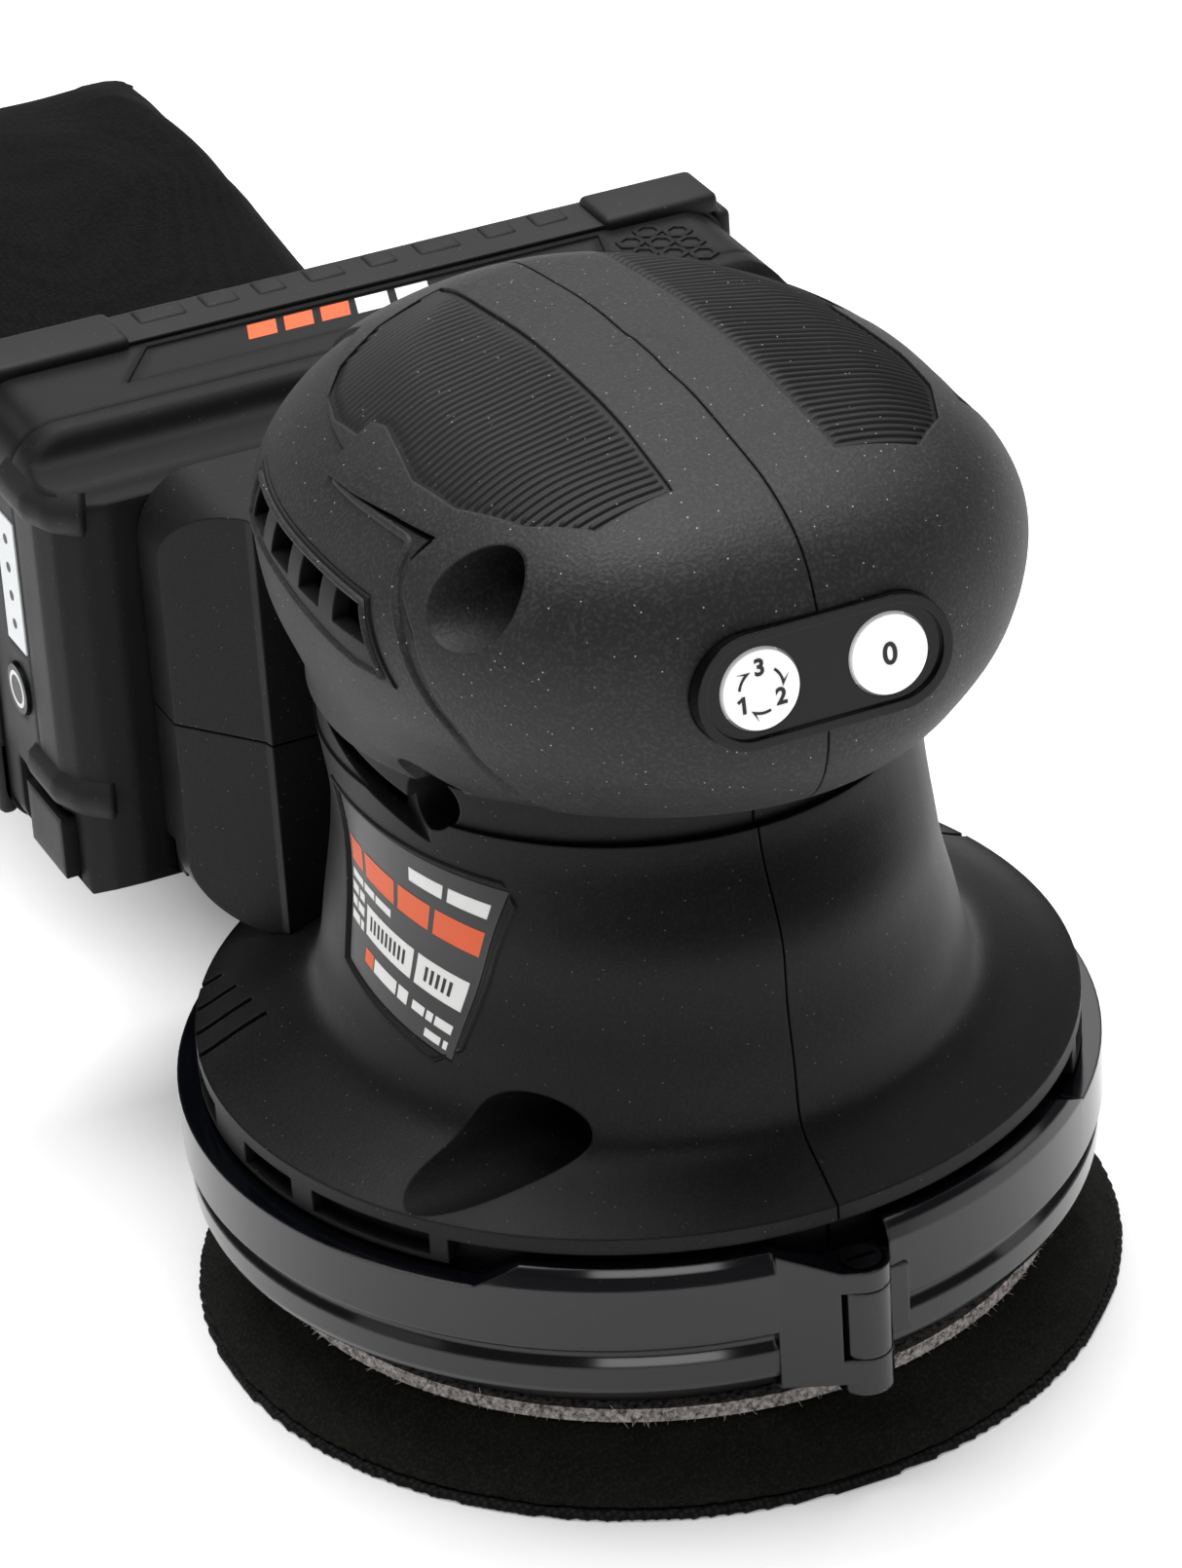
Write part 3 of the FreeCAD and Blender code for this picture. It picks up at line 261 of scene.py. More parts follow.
camera.data.lens = 144.2
camera.data.clip_start = 0.05
camera.data.clip_end = 20.0
bpy.context.scene.camera = camera

# ---------------------------------------------------------------- studio
sweep = bmesh.new()
bmesh.ops.create_grid(sweep, x_segments=1, y_segments=1, size=4.0)
mesh = bpy.data.meshes.new("paper_sweep")
sweep.to_mesh(mesh)
sweep.free()
floor = bpy.data.objects.new("paper_sweep", mesh)
floor.location.z = -0.15 * MM
bpy.context.scene.collection.objects.link(floor)
# White paper, faintly lit by itself so that it burns out to white
paper, tree, surface, place = finish("white_paper", Roughness=0.8)
fibres = add(tree, "TexNoise", {"Vector": place, "Scale": 1 / (400 * MM), "Detail": 2.0}).outputs["Fac"]
tree.links.new(ramp(tree, fibres, 0.3, 0.7, srgb("f6f6f6"), srgb("fafafa")), surface.inputs["Base Color"])
surface.inputs["Emission Color"].default_value = srgb("ffffff")
surface.inputs["Emission Strength"].default_value = 0.22
mesh.materials.append(paper)

world = bpy.data.worlds.new("studio")
world.use_nodes = True
world.node_tree.nodes["Background"].inputs["Color"].default_value = (1.0, 1.0, 1.0, 1.0)
world.node_tree.nodes["Background"].inputs["Strength"].default_value = 0.13
bpy.context.scene.world = world
bpy.context.scene.view_settings.view_transform = "Standard"


def softbox(name, spot, aim, width, height, power):
    light = bpy.data.lights.new(name, "AREA")
    light.shape = "RECTANGLE"
    light.size = width
    light.size_y = height
    light.energy = power
    lamp = bpy.data.objects.new(name, light)
    lamp.location = spot
    lamp.rotation_euler = (Vector(aim) - Vector(spot)).to_track_quat("-Z", "Y").to_euler()
    bpy.context.scene.collection.objects.link(lamp)


softbox("top_box", (0.0, 0.35, 1.9), (0, 0.05, 0.08), 1.9, 1.3, 50.0)
softbox("right_box", (1.1, -0.2, 1.0), (0, -0.02, 0.08), 0.4, 0.9, 1.1)
softbox("left_box", (-1.1, 0.1, 0.9), (0, 0, 0.08), 0.4, 0.9, 0.5)
softbox("back_box", (0.7, 1.65, 1.1), (0, 0.05, 0.1), 1.5, 0.9, 6.8)
softbox("front_box", (-0.5, -1.2, 1.9), (0, -0.03, 0.05), 0.9, 0.5, 5.0)

# ---------------------------------------------------------------- laid strips
def strip(bm, steps, place, rows=4):
    """A strip whose points are set by place(along 0 to 1, across -1 to 1)."""
    made = bmesh.ops.create_grid(bm, x_segments=steps, y_segments=rows, size=0.5)
    for vert in made["verts"]:
        vert.co = place(vert.co.x + 0.5, vert.co.y * 2.0)
    return made["verts"]


def bead(bm, line, half, rise, sink=0.3, loop=False):
    """A rounded bead along (point, normal) pairs, its edges sunk in the surface."""
    count = len(line)

    def place(along, across):
        i = round(along * (count - 1))
        spot, normal = line[i]
        ahead = line[(i + 1) % (count - 1) if loop else min(i + 1, count - 1)][0]
        behind = line[(i - 1) % (count - 1) if loop else max(i - 1, 0)][0]
        side = normal.cross(ahead - behind).normalized()
        edge = not loop and i in (0, count - 1)
        height = -sink if edge or abs(across) > 0.9 else rise * (1.0 if abs(across) < 0.1 else 0.72)
        return spot + side * across * half * MM + normal * height * MM

    strip(bm, count - 1, place)
    if loop:
        bmesh.ops.remove_doubles(bm, verts=bm.verts, dist=0.00001)


def walk(corners, step, loop=False):
    """Evenly spaced points along a polygon of (a, b) corners."""
    corners = [Vector(c) for c in corners]
    if loop:
        corners.append(corners[0])
    out = []
    for first, second in zip(corners, corners[1:]):
        count = max(1, round((second - first).length / step))
        out += [first.lerp(second, i / count) for i in range(count)]
    out.append(corners[-1])
    return out


def print_block(bm, tree, corners, start, way, lift=0.03, thick=0.08, cell=1.2):
    """A printed patch between four corners, thrown along way onto a surface; start makes a 3-D start point."""
    a, b, c, d = (Vector(v) for v in corners)
    nx = max(1, round(max((b - a).length, (c - d).length) / cell))
    ny = max(1, round(max((d - a).length, (c - b).length) / cell))
    made = bmesh.ops.create_grid(bm, x_segments=nx, y_segments=ny, size=0.5)
    for vert in made["verts"]:
        u = vert.co.x + 0.5
        v = vert.co.y + 0.5
        flat = a.lerp(b, u).lerp(d.lerp(c, u), v)
        spot, normal = hit(tree, Vector(start(flat)) * MM, way)
        vert.co = spot + normal * lift * MM if spot else Vector(start(flat)) * MM
    faces = list({f for vert in made["verts"] for f in vert.link_faces})
    if faces and faces[0].normal.dot(Vector(way)) > 0:
        bmesh.ops.reverse_faces(bm, faces=faces)
    bmesh.ops.solidify(bm, geom=faces, thickness=thick * MM)


# ---------------------------------------------------------------- ribbed grips
RIB_PITCH = 1.4
RIB_HALF = 0.52
RIB_RISE = 0.4
RIB_FIRST_Y = -45.2
RIB_LAST_Y = 23.4
RIB_STEPS = 24
RIB_INSET = 0.15
ABOVE = 0.2


def ribs(side, pad):
    """Rounded ribs across one inlay, each lying on its surface from edge to edge."""
    tree = skin_of(pad)
    bm = bmesh.new()
    y = RIB_FIRST_Y
    while y < RIB_LAST_Y:
        spans = [x for x in (side * (9.5 + 0.2 * k) for k in range(125))
                 if hit(tree, (x * MM, y * MM, ABOVE), (0, 0, -1))[0]]
        if len(spans) > 8:
            line = []
            for k in range(RIB_STEPS + 1):
                x = spans[0] + side * RIB_INSET + (spans[-1] - spans[0] - side * 2 * RIB_INSET) * k / RIB_STEPS
                line.append(hit(tree, (x * MM, y * MM, ABOVE), (0, 0, -1)))
            bead(bm, line, RIB_HALF, RIB_RISE, 0.2)
        y += RIB_PITCH
    bmesh.ops.recalc_face_normals(bm, faces=bm.faces)
    return bm


for side, name in ((-1.0, "left"), (1.0, "right")):
    bm = ribs(side, "grip_pad_" + name)
    if sum(f.normal.z for f in bm.faces) < 0:
        bmesh.ops.reverse_faces(bm, faces=bm.faces)
    piece("grip_ribs_" + name, bm, "housing", "soft_touch", grip_tpe)

# ---------------------------------------------------------------- flank lips
FLANK_LIP = ((-4.5, 128.9), (-12.0, 129.0), (-21.0, 129.4), (-26.4, 129.6), (-26.9, 126.4), (-31.6, 120.2),
             (-35.4, 113.4), (-38.2, 108.6), (-38.4, 97.0))
for side, name in ((-1.0, "left"), (1.0, "right")):
    tree = skin_of("head_shell_" + name)
    line = []
    for point in walk(FLANK_LIP, 0.8):
        spot, normal = hit(tree, Vector((side * 75.0, point.x, point.y)) * MM, (-side, 0, 0))
        if spot:
            line.append((spot, normal))
    for _ in range(3):
        line = [line[0]] + [((a[0] + b[0] + c[0]) / 3, (a[1] + b[1] + c[1]).normalized())
                            for a, b, c in zip(line, line[1:], line[2:])] + [line[-1]]
    bm = bmesh.new()
    bead(bm, line, 0.75, 0.65, 0.3)
    bmesh.ops.recalc_face_normals(bm, faces=bm.faces)
    piece("flank_lip_" + name, bm, "housing", "soft_touch", soft_touch)

# ---------------------------------------------------------------- vent surrounds
VENT_FRAME = ((14.5, 116.9), (14.5, 121.9), (-23.4, 121.7), (-28.2, 113.6), (-22.6, 113.4), (-1.0, 115.8))
for side, name in ((-1.0, "left"), (1.0, "right")):
    tree = skin_of("vent_grille_" + name)
    line = []
    for point in walk(VENT_FRAME, 1.0, loop=True):
        spot, normal = hit(tree, (side * 0.08, point.x * MM, point.y * MM), (-side, 0, 0))
        if spot:
            line.append((spot, normal))
    bm = bmesh.new()
    bead(bm, line, 0.6, 0.5, 0.25, loop=True)
    bmesh.ops.recalc_face_normals(bm, faces=bm.faces)
    piece("vent_surround_" + name, bm, "housing", "soft_touch", soft_touch)

# ---------------------------------------------------------------- switch legends
TILT = math.radians(7.5)
panel = Matrix.Translation(Vector((0.0, -61.9, 118.3)) * MM) @ Matrix((
    (1, 0, 0), (0, math.sin(TILT), -math.cos(TILT)), (0, math.cos(TILT), math.sin(TILT)))).to_4x4()
CAP_FACE = 0.7


def glyph(bm, text, size, x, z):
    """A bold numeral as a thin solid, drawn on the sloping front at (x, z)."""
    curve = bpy.data.curves.new("numeral", "FONT")
    curve.body = text
    curve.size = size * MM
    curve.align_x = "CENTER"
    curve.align_y = "CENTER"
    curve.offset = 0.1 * MM
    curve.extrude = 0.04 * MM
    drawn = bpy.data.objects.new("numeral", curve)
    mesh = bpy.data.meshes.new_from_object(drawn)
    mesh.transform(panel @ Matrix.Translation(Vector((x, z, CAP_FACE + 0.02)) * MM))
    bm.from_mesh(mesh)
    bpy.data.objects.remove(drawn)
    bpy.data.curves.remove(curve)
    bpy.data.meshes.remove(mesh)


def arc_arrow(bm, x, centre, radius=2.9, span=38.0, width=0.36):
    """A clockwise arc with a half-barbed head, flat on the sloping front."""
    first = math.radians(centre + span / 2)
    edge = [bm.verts.new((radius + d, 0, 0)) for d in (-width / 2, width / 2)]
    spine = bm.edges.new(edge)
    bmesh.ops.rotate(bm, verts=edge, cent=(0, 0, 0), matrix=Matrix.Rotation(first, 3, "Z"))
    turned = bmesh.ops.spin(bm, geom=[spine, *edge], cent=(0, 0, 0), axis=(0, 0, -1),
                            angle=math.radians(span), steps=10)
    last = [v for v in turned["geom_last"] if isinstance(v, bmesh.types.BMVert)]
    tip_angle = math.radians(centre - span / 2)
    along = Vector((math.sin(tip_angle), -math.cos(tip_angle), 0))
    outer = max(last, key=lambda v: v.co.length)
    inner = min(last, key=lambda v: v.co.length)
    barb = bm.verts.new(outer.co * 1.26 - along * 0.6)
    point = bm.verts.new(inner.co + along * 0.75)
    bm.faces.new((inner, outer, point))
    bm.faces.new((outer, barb, point))
    flat = {v for f in bm.faces for v in f.verts if abs(v.co.z) < 1e-9}
    spread = list({f for v in flat for f in v.link_faces})
    bmesh.ops.recalc_face_normals(bm, faces=spread)
    grown = bmesh.ops.extrude_face_region(bm, geom=spread)
    lifted = [v for v in grown["geom"] if isinstance(v, bmesh.types.BMVert)]
    bmesh.ops.translate(bm, verts=lifted, vec=(0, 0, 0.06))
    whole = list(flat) + lifted
    bmesh.ops.transform(bm, verts=whole, matrix=panel @ Matrix.Translation(Vector((x, 0, CAP_FACE - 0.01)) * MM)
                        @ Matrix.Scale(MM, 4))
    bmesh.ops.recalc_face_normals(bm, faces=list({f for v in whole for f in v.link_faces}))


SPEED_X = -8.5
OFF_X = 8.5
bm = bmesh.new()
for text, angle in (("3", 90.0), ("1", 212.0), ("2", -32.0)):
    glyph(bm, text, 2.9, SPEED_X + 2.9 * math.cos(math.radians(angle)), 2.8 * math.sin(math.radians(angle)))
# the flag of the numeral 1
flag = bmesh.ops.create_cube(bm, size=1.0)["verts"]
flag_size = Matrix.Diagonal(Vector((0.75, 0.4, 0.07, 1.0 / MM)) * MM)
bmesh.ops.transform(bm, verts=flag, matrix=panel @ Matrix.Translation(Vector((-11.4, -0.72, CAP_FACE + 0.02)) * MM)
                    @ Matrix.Rotation(math.radians(32), 4, "Z") @ flag_size)
piece("speed_numerals", bm, "speed_switch", "switch_gloss", black_ink, smooth=False)
for index, centre in enumerate((30.0, 270.0, 150.0)):
    bm = bmesh.new()
    arc_arrow(bm, SPEED_X, centre)
    piece("speed_arrow_%d" % (index + 1), bm, "speed_switch", "switch_gloss", black_ink, smooth=False)
bm = bmesh.new()
glyph(bm, "0", 3.9, OFF_X, 0.0)
piece("off_numeral", bm, "off_switch", "switch_gloss", black_ink, smooth=False)

# ---------------------------------------------------------------- rating label print
LABEL_OUTSIDE_X = -60.0
LABEL_BOTTOM = (Vector((-1.0, 59.0)), Vector((-24.4, 54.6)))
LABEL_TOP = (Vector((4.6, 81.0)), Vector((-29.0, 79.6)))
label_tree = skin_of("rating_label")


def on_label(u, v):
    return LABEL_BOTTOM[0].lerp(LABEL_BOTTOM[1], u).lerp(LABEL_TOP[0].lerp(LABEL_TOP[1], u), v)


def label_block(bm, u0, u1, v0, v1):
    corners = [on_label(u0, v0), on_label(u1, v0), on_label(u1, v1), on_label(u0, v1)]
    print_block(bm, label_tree, corners, lambda p: (LABEL_OUTSIDE_X, p.x, p.y), (1, 0, 0), cell=0.9)


def text_row(bm, u0, u1, v0, v1, words):
    """A row of blank bars, in words of the given lengths."""
    pitch = (u1 - u0) / (sum(words) + 0.7 * (len(words) - 1))
    u = u0
    for count in words:
        label_block(bm, u, u + count * pitch, v0, v1)
        u += (count + 0.7) * pitch


orange_rows = bmesh.new()
text_row(orange_rows, 0.04, 0.96, 0.60, 0.745, (3, 6, 5, 6))
label_block(orange_rows, 0.21, 0.30, 0.12, 0.20)
piece("label_headline", orange_rows, "housing", "label_film", orange_ink, smooth=False)
white_rows = bmesh.new()
text_row(white_rows, 0.55, 0.95, 0.82, 0.90, (5, 5))
text_row(white_rows, 0.04, 0.42, 0.505, 0.55, (7, 6, 8))
text_row(white_rows, 0.03, 0.17, 0.42, 0.47, (4, 3))
text_row(white_rows, 0.03, 0.17, 0.34, 0.39, (3, 4))
text_row(white_rows, 0.03, 0.17, 0.26, 0.31, (5, 2))
label_block(white_rows, 0.20, 0.61, 0.27, 0.44)
label_block(white_rows, 0.64, 0.95, 0.27, 0.44)
text_row(white_rows, 0.31, 0.62, 0.12, 0.195, (8, 3))
text_row(white_rows, 0.66, 0.94, 0.13, 0.18, (4, 2, 5))
text_row(white_rows, 0.78, 0.94, 0.04, 0.085, (4, 1))
piece("label_white_print", white_rows, "housing", "label_film", white_ink, smooth=False)
stamped = bmesh.new()
for u0, u1, count in ((0.24, 0.57, 9), (0.70, 0.89, 5)):
    for i in range(count):
        u = u0 + (u1 - u0) * i / count
        corners = [on_label(u, 0.315), on_label(u + 0.018, 0.315), on_label(u + 0.018, 0.395), on_label(u, 0.395)]
        print_block(stamped, label_tree, corners, lambda p: (LABEL_OUTSIDE_X, p.x, p.y), (1, 0, 0), lift=0.06, cell=0.8)
piece("label_stamped_marks", stamped, "housing", "label_film", black_ink, smooth=False)

shell_tree = skin_of("body_shell_left")
frame_line = []
for u, v in walk(((-0.03, -0.02), (0.9, -0.04), (1.03, 0.10), (1.035, 0.93), (0.96, 1.03), (-0.03, 1.03)), 0.04, True):
    point = on_label(u, v)
    spot, normal = hit(shell_tree, Vector((LABEL_OUTSIDE_X, point.x, point.y)) * MM, (1, 0, 0))
    frame_line.append((spot, normal))
bm = bmesh.new()
bead(bm, frame_line, 0.45, 0.35, 0.2, loop=True)
bmesh.ops.recalc_face_normals(bm, faces=bm.faces)
piece("label_frame", bm, "housing", "black_abs", body_abs)

# ---------------------------------------------------------------- battery trim
top_tree = skin_of("battery_top_panel")


def top_block(bm, corners):
    print_block(bm, top_tree, corners, lambda p: (p.x, p.y, 130.0), (0, 0, -1), cell=3.0)


orange_top = bmesh.new()
for x in (-18.0, -12.6, -7.2):
    top_block(orange_top, ((x, 75.9), (x + 4.2, 75.9), (x + 5.6, 80.2), (x + 1.4, 80.2)))
top_block(orange_top, ((12.4, 77.2), (20.2, 77.2), (20.8, 79.0), (13.0, 79.0)))
piece("battery_top_orange", orange_top, "battery", "label_film", orange_ink, smooth=False)
white_top = bmesh.new()
for x in (-2.0, 4.0):
    top_block(white_top, ((x, 75.6), (x + 4.8, 75.6), (x + 6.2, 80.3), (x + 1.4, 80.3)))
piece("battery_top_white", white_top, "battery", "label_film", white_ink, smooth=False)

case_tree = skin_of("battery_front_case", "battery_back_case")


def comb(bm, x, y, z, radius):
    """One low six-sided boss with a sunken middle."""
    made = bmesh.ops.create_circle(bm, cap_ends=True, radius=radius * MM, segments=6,
                                   matrix=Matrix.Translation(Vector((x, y, z - 0.2)) * MM))
    face = made["verts"][0].link_faces[0]
    for depth, inward in ((0.42, 0.0), (0.0, 0.5), (-0.25, 0.3)):
        if inward:
            bmesh.ops.inset_region(bm, faces=[face], thickness=inward * MM)
        if depth:
            lifted = bmesh.ops.extrude_discrete_faces(bm, faces=[face])["faces"][0]
            bmesh.ops.translate(bm, verts=lifted.verts, vec=(0, 0, depth * MM))
            face = lifted


bm = bmesh.new()
for row in range(4):
    for column in range(4):
        x = 35.6 + column * 3.6
        y = 65.4 + row * 4.2 + (2.1 if column % 2 else 0.0)
        if y < 79.6 and (x > 38.0 or y < 68.0):
            comb(bm, x, y, 110.0, 2.2)
bmesh.ops.recalc_face_normals(bm, faces=bm.faces)
piece("battery_honeycomb", bm, "battery", "black_abs", pack_abs, smooth=False)


def bar(bm, x0, x1, y0, y1, z0, z1, soft):
    """A rounded bar between two corners."""
    made = bmesh.ops.create_cube(bm, size=1.0, matrix=Matrix.Translation(
        Vector((x0 + x1, y0 + y1, z0 + z1)) * MM / 2) @ Matrix.Diagonal(
        Vector((x1 - x0, y1 - y0, z1 - z0, 1.0 / MM)) * MM))
    edges = list({e for v in made["verts"] for e in v.link_edges})
    bmesh.ops.bevel(bm, geom=edges, offset=soft * MM, segments=3, affect="EDGES", profile=0.5, material=-1)


bm = bmesh.new()
for x0, x1 in ((-29.8, -22.4), (-20.0, -14.6), (-12.2, -7.6), (-4.6, 1.2), (4.4, 9.0), (12.0, 18.6), (22.0, 27.0),
               (29.6, 35.0)):
    bar(bm, x0, x1, 86.4, 91.0, 109.2, 110.9, 0.75)
bar(bm, -56.4, -33.0, 81.2, 91.0, 108.6, 111.7, 1.0)
bar(bm, 38.0, 55.4, 81.2, 91.0, 108.6, 111.7, 1.0)
for z0, z1 in ((44.0, 56.0), (96.0, 108.4)):
    bar(bm, -58.6, -56.0, 82.0, 91.0, z0, z1, 1.0)
    bar(bm, 55.0, 57.6, 82.0, 91.0, z0, z1, 1.0)
piece("battery_rim_pads", bm, "battery", "black_abs", rim_rubber)

CORNER_BAR_HALF = 3.3
CORNER_BAR_RISE = 1.7
CORNER_WIDEST = 50.5
bm = bmesh.new()
for side, z in ((-1.0, 59.6), (-1.0, 102.4), (1.0, 52.0), (1.0, 102.4)):
    line = []
    for point in walk(((90.0, 84.0), (90.0, 58.6), (76.0, 46.0), (60.0, 40.0)), 1.2):
        target = Vector((side * 44.0, 62.0, z))
        start = Vector((side * point.x, point.y, z))
        spot, normal = hit(case_tree, start * MM, (target - start).normalized())
        if spot and abs(spot.x) > CORNER_WIDEST * MM:
            line.append((spot, normal))
    bead(bm, line, CORNER_BAR_HALF, CORNER_BAR_RISE, 0.6)
bmesh.ops.recalc_face_normals(bm, faces=bm.faces)
piece("battery_corner_bars", bm, "battery", "black_abs", rim_rubber)

bm = bmesh.new()
for z in (79.5, 83.8, 88.1, 92.4):
    made = bmesh.ops.create_circle(bm, cap_ends=True, radius=0.75 * MM, segments=16)
    bmesh.ops.rotate(bm, verts=made["verts"], cent=(0, 0, 0), matrix=Matrix.Rotation(math.radians(-90), 3, "Y"))
    bmesh.ops.translate(bm, verts=made["verts"], vec=Vector((-57.24, 70.4, z)) * MM)
bmesh.ops.solidify(bm, geom=bm.faces[:], thickness=0.1 * MM)
bmesh.ops.recalc_face_normals(bm, faces=bm.faces)
piece("gauge_dots", bm, "battery", "label_film", black_ink, smooth=False)
bm = bmesh.new()
RING_STEPS = 32
bmesh.ops.create_circle(bm, radius=2.7 * MM, segments=RING_STEPS)
bmesh.ops.extrude_edge_only(bm, edges=bm.edges[:])
for vert in bm.verts[RING_STEPS:]:
    vert.co *= 0.78
bmesh.ops.rotate(bm, verts=bm.verts, cent=(0, 0, 0), matrix=Matrix.Rotation(math.radians(-90), 3, "Y"))
bmesh.ops.translate(bm, verts=bm.verts, vec=Vector((-57.66, 71.5, 69.0)) * MM)
bmesh.ops.solidify(bm, geom=bm.faces[:], thickness=0.1 * MM)
bmesh.ops.recalc_face_normals(bm, faces=bm.faces)
piece("gauge_button_ring", bm, "gauge", "label_film", white_ink, smooth=False)

# ---------------------------------------------------------------- sanding pad
# Open-cell foam skinned with a fine felt-like nap: dead matt, soft-edged, slightly uneven
foam, tree, surface, place = finish("napped_foam", Roughness=0.95)
patches = add(tree, "TexNoise", {"Vector": place, "Scale": 1 / (9 * MM), "Detail": 4.0}).outputs["Fac"]
nap = add(tree, "TexNoise", {"Vector": place, "Scale": 1 / (0.45 * MM), "Detail": 4.0}).outputs["Fac"]
tone = ramp(tree, patches, 0.3, 0.7, srgb("161614"), srgb("1e1e1b"))
tree.links.new(ramp(tree, nap, 0.45, 0.75, tone, srgb("2a2a26")), surface.inputs["Base Color"])
surface.inputs["Specular IOR Level"].default_value = 0.06
bump = add(tree, "Bump", {"Height": nap, "Strength": 1.0, "Distance": 0.12 * MM})
tree.links.new(bump.outputs["Normal"], surface.inputs["Normal"])

# Nylon hook fabric: dark charcoal with a fine, nearly regular pile
hooks, tree, surface, place = finish("nylon_hook_fabric", Roughness=0.85, Specular_IOR_Level=0.15)
pile = add(tree, "TexVoronoi", {"Vector": place, "Scale": 1 / (0.9 * MM), "Randomness": 0.35}).outputs["Distance"]
tree.links.new(ramp(tree, pile, 0.1, 0.6, srgb("2c2c2b"), srgb("0e0e0e")), surface.inputs["Base Color"])
bump = add(tree, "Bump", {"Height": pile, "Strength": 1.0, "Distance": 0.3 * MM}, invert=True)
tree.links.new(bump.outputs["Normal"], surface.inputs["Normal"])

# Glass-fibre board edge: pale, broken by resin and dust
fibre_board, tree, surface, place = finish("glass_fibre_board", Roughness=0.7)
strands = add(tree, "TexNoise", {"Vector": place, "Scale": 1 / (0.8 * MM), "Detail": 5.0,
                                 "Roughness": 0.7}).outputs["Fac"]
tree.links.new(ramp(tree, strands, 0.38, 0.62, srgb("3a3634"), srgb("cfc6c2")), surface.inputs["Base Color"])
bump = add(tree, "Bump", {"Height": strands, "Strength": 1.0, "Distance": 0.15 * MM})
tree.links.new(bump.outputs["Normal"], surface.inputs["Normal"])
for i in range(len(nodes["backing_plate"].data.materials)):
    nodes["backing_plate"].data.materials[i] = fibre_board
# Loose glass and loop fibres: off-white
fibre, tree, surface, place = finish("loose_fibres", Roughness=0.6)
tint = add(tree, "TexNoise", {"Vector": place, "Scale": 1 / (2 * MM)}).outputs["Fac"]
tree.links.new(ramp(tree, tint, 0.3, 0.7, srgb("a89f9b"), srgb("efe9e6")), surface.inputs["Base Color"])


def remade(name, voxel):
    """A copy of a CAD node's mesh, merged and remeshed evenly."""
    bm = bmesh.new()
    bm.from_mesh(nodes[name].data)
    bmesh.ops.remove_doubles(bm, verts=bm.verts, dist=0.00001)
    mesh = bpy.data.meshes.new(name + "_draft")
    bm.to_mesh(mesh)
    bm.free()
    draft = bpy.data.objects.new(name + "_draft", mesh)
    bpy.context.scene.collection.objects.link(draft)
    even = draft.modifiers.new("even", "REMESH")
    even.mode = "VOXEL"
    even.voxel_size = voxel * MM
    bpy.context.view_layer.update()
    made = bpy.data.meshes.new_from_object(draft.evaluated_get(bpy.context.evaluated_depsgraph_get()))
    bpy.data.objects.remove(draft)
    out = bmesh.new()
    out.from_mesh(made)
    bpy.data.meshes.remove(made)
    return out


def roughen(bm, grain, depth):
    """Moves each point along its normal by noise of a given grain and depth in millimetres."""
    bm.normal_update()
    shifts = [(v, v.normal * (noise.noise(v.co / (grain * MM)) * depth * MM)) for v in bm.verts]
    for vert, shift in shifts:
        vert.co += shift


foam_bm = remade("pad_foam", 0.9)
roughen(foam_bm, 3.0, 0.10)
roughen(foam_bm, 1.1, 0.09)
foam_piece = piece("pad_foam_napped", foam_bm, "pad", "foam", foam)
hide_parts("pad_foam")
hook_bm = remade("pad_hook_face", 0.7)
roughen(hook_bm, 1.1, 0.06)
hook_piece = piece("pad_hook_pile", hook_bm, "pad", "hook_fabric", hooks)
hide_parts("pad_hook_face")

ORBIT = 1.2
PLATE_R = 53.7
FIBRES = 1500
dice = random.Random(7)
bm = bmesh.new()
for i in range(FIBRES):
    angle = math.tau * (i + dice.random()) / FIBRES
    outward = Vector((math.cos(angle), math.sin(angle), 0))
    root = Vector((ORBIT, 0, 0)) + outward * PLATE_R + Vector((0, 0, dice.uniform(9.5, 11.5)))
    lean = outward + Vector((dice.uniform(-0.9, 0.9), dice.uniform(-0.9, 0.9), dice.uniform(-0.7, 0.5)))
    lean.normalize()
    length = dice.uniform(0.4, 1.5)
    spike = bmesh.ops.create_cone(bm, cap_ends=False, segments=3, radius1=0.075 * MM, radius2=0.02 * MM,
                                  depth=length * MM)
    bmesh.ops.transform(bm, verts=spike["verts"], matrix=Matrix.Translation((root + lean * length * 0.5) * MM)
                        @ lean.to_track_quat("Z", "Y").to_matrix().to_4x4())
piece("pad_edge_fibres", bm, "pad", "foam", fibre)

# ---------------------------------------------------------------- dust bag
# Plain-woven polyester: black, matt, with a fine close weave
weave, tree, surface, place = finish("woven_polyester", Roughness=0.8, Specular_IOR_Level=0.04)
threads = add(tree, "TexVoronoi", {"Vector": place, "Scale": 1 / (0.9 * MM), "Randomness": 0.5}).outputs["Distance"]
cloud = add(tree, "TexNoise", {"Vector": place, "Scale": 1 / (30 * MM), "Detail": 3.0}).outputs["Fac"]
tone = ramp(tree, cloud, 0.3, 0.7, srgb("0b0b0b"), srgb("101010"))
tree.links.new(ramp(tree, threads, 0.1, 0.7, srgb("181818"), tone), surface.inputs["Base Color"])
bump = add(tree, "Bump", {"Height": threads, "Strength": 0.8, "Distance": 0.12 * MM}, invert=True)
tree.links.new(bump.outputs["Normal"], surface.inputs["Normal"])

BAG_STEPS = 40
SQUARENESS = 0.7
CLOTH_FRAMES = 20
MOST_SWELL = 3.2
# each section: y, half width, half height, middle height
BAG = (
    (99.2, 25.6, 13.2, 31.5), (103.0, 28.0, 15.2, 32.5), (110.0, 32.0, 18.4, 35.6), (122.0, 34.6, 21.0, 40.0),
    (145.0, 36.4, 22.6, 44.4), (180.0, 37.2, 23.0, 48.6), (215.0, 37.6, 21.4, 52.6), (240.0, 37.8, 16.6, 56.0),
    (258.0, 38.0, 10.0, 58.4), (268.0, 38.0, 5.4, 59.8), (276.0, 37.6, 2.4, 60.2),
)


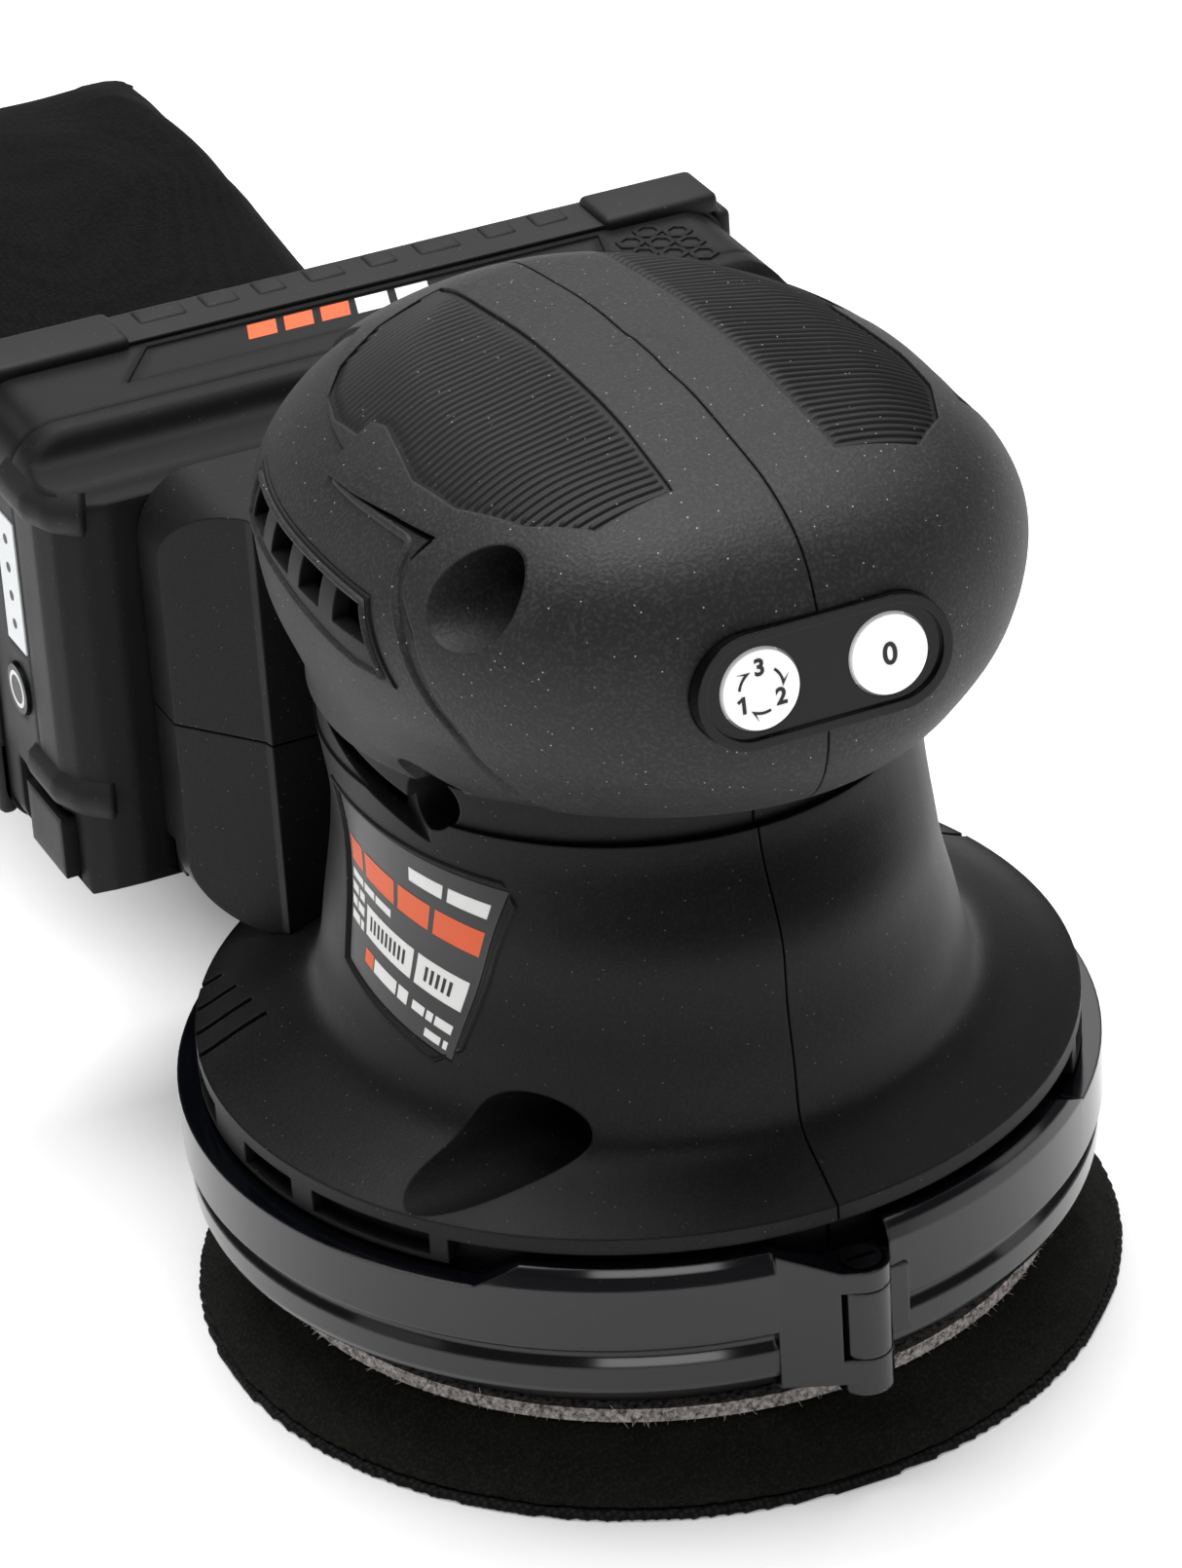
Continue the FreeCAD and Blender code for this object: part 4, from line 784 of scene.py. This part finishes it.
def bag_form():
    """The sewn bag before it fills: rounded-square sections from collar to hem."""
    bm = bmesh.new()
    rings = []
    for y, half_w, half_h, z in BAG:
        made = bmesh.ops.create_circle(bm, radius=1.0, segments=BAG_STEPS)
        for vert in made["verts"]:
            a = math.atan2(vert.co.y, vert.co.x)
            across = math.copysign(abs(math.cos(a)) ** SQUARENESS, math.cos(a))
            upward = math.copysign(abs(math.sin(a)) ** SQUARENESS, math.sin(a))
            peak = 2.6 * max(0.0, (y - 235.0) / 41.0) * max(0.0, across) ** 3
            vert.co = Vector((half_w * across, y, z + half_h * upward + peak)) * MM
        rings.append(list({e for v in made["verts"] for e in v.link_edges}))
    for first, second in zip(rings, rings[1:]):
        bmesh.ops.bridge_loops(bm, edges=first + second)
    bmesh.ops.holes_fill(bm, edges=bm.edges[:], sides=60)
    bmesh.ops.recalc_face_normals(bm, faces=bm.faces)
    return bm


def swell(bm, most):
    """Fills a closed cloth form with air, moving no point further than most millimetres."""
    mesh = bpy.data.meshes.new("bag_draft")
    bm.to_mesh(mesh)
    bm.free()
    draft = bpy.data.objects.new("bag_draft", mesh)
    bpy.context.scene.collection.objects.link(draft)
    even = draft.modifiers.new("even", "REMESH")
    even.mode = "VOXEL"
    even.voxel_size = 4.5 * MM
    bpy.context.view_layer.update()
    flat = bpy.data.meshes.new_from_object(draft.evaluated_get(bpy.context.evaluated_depsgraph_get()))
    before = [v.co.copy() for v in flat.vertices]
    draft.modifiers.remove(even)
    draft.data = flat
    air = draft.modifiers.new("air", "CLOTH")
    air.settings.use_pressure = True
    air.settings.uniform_pressure_force = 4.0
    air.settings.tension_stiffness = 25.0
    air.settings.compression_stiffness = 8.0
    air.settings.bending_stiffness = 0.4
    air.settings.effector_weights.gravity = 0.0
    for step in range(1, CLOTH_FRAMES + 1):
        bpy.context.scene.frame_set(step)
    filled = bpy.data.meshes.new_from_object(draft.evaluated_get(bpy.context.evaluated_depsgraph_get()))
    bpy.context.scene.frame_set(1)
    out = bmesh.new()
    out.from_mesh(filled)
    out.verts.ensure_lookup_table()
    for vert, start in zip(out.verts, before):
        held = min(1.0, max(0.0, (start.y - 0.101) / 0.012)) * min(1.0, max(0.0, (0.277 - start.y) / 0.010))
        move = (vert.co - start) * held
        if move.length > most * MM:
            move *= most * MM / move.length
        vert.co = start + move
    bpy.data.objects.remove(draft)
    return out


bag = swell(bag_form(), MOST_SWELL)
bag.normal_update()
for vert in bag.verts:
    y = vert.co.y / MM
    free = min(1.0, max(0.0, (y - 102) / 14)) * min(1.0, max(0.0, (276 - y) / 12))
    folds = noise.noise(Vector((vert.co.x / MM / 13, y / 46, vert.co.z / MM / 13)))
    puckers = math.sin(vert.co.x / MM * 0.9) * math.exp(-abs(y - 262) / 5.0) * 0.5
    vert.co += vert.normal * (folds * 2.1 + puckers) * free * MM
for _ in range(2):
    bmesh.ops.smooth_vert(bag, verts=bag.verts, factor=0.35, use_axis_x=True, use_axis_y=True, use_axis_z=True)
bag_piece = piece("dust_bag_filled", bag, "bag", "bag_fabric", weave)
finer = bag_piece.modifiers.new("finer", "SUBSURF")
finer.levels = 1
finer.render_levels = 1
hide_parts("dust_bag")

# The hem folded over the slide closure, and the sewn seams down both sides
bm = bmesh.new()
hem = bmesh.ops.create_grid(bm, x_segments=40, y_segments=16, size=0.5)
for vert in hem["verts"]:
    along = vert.co.x * 2.0
    angle = (vert.co.y + 0.5) * math.tau
    pinch = math.sqrt(max(0.02, 1.0 - (max(0.0, abs(along) - 0.9) / 0.1) ** 2))
    crumple = noise.noise(Vector((along * 9.0, angle, 3.0))) * (1.0 - along ** 8)
    peak = 2.6 * max(0.0, along) ** 3
    vert.co = Vector((36.4 * along, 275.0 - 3.5 * along ** 8 + 2.6 * math.cos(angle) * pinch + crumple * 0.7,
                      60.0 + peak + crumple * 0.6 + 1.5 * pinch * math.sin(angle))) * MM
bmesh.ops.remove_doubles(bm, verts=bm.verts, dist=0.00005)
bmesh.ops.recalc_face_normals(bm, faces=bm.faces)
bag_hem = piece("bag_hem", bm, "bag", "bag_fabric", weave)
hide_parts("bag_end_clip")

SEAM_Z = 32.6
SEAM_RISE = 13.888
bag_tree = BVHTree.FromObject(bag_piece, bpy.context.evaluated_depsgraph_get())
bm = bmesh.new()
for side in (-1.0, 1.0):
    line = []
    for i in range(90):
        y = 104.0 + 158.0 * i / 89
        z = SEAM_Z + SEAM_RISE * min(1.0, (y - 100.0) / 60.0) ** 0.7 + max(0.0, y - 160.0) * 0.07
        spot, normal = hit(bag_tree, Vector((side * 80.0, y, z)) * MM, (-side, 0, 0))
        if spot:
            line.append((spot, normal))
    bead(bm, line, 1.1, 1.0, 0.4)
bmesh.ops.recalc_face_normals(bm, faces=bm.faces)
piece("bag_side_seams", bm, "bag", "bag_fabric", weave)
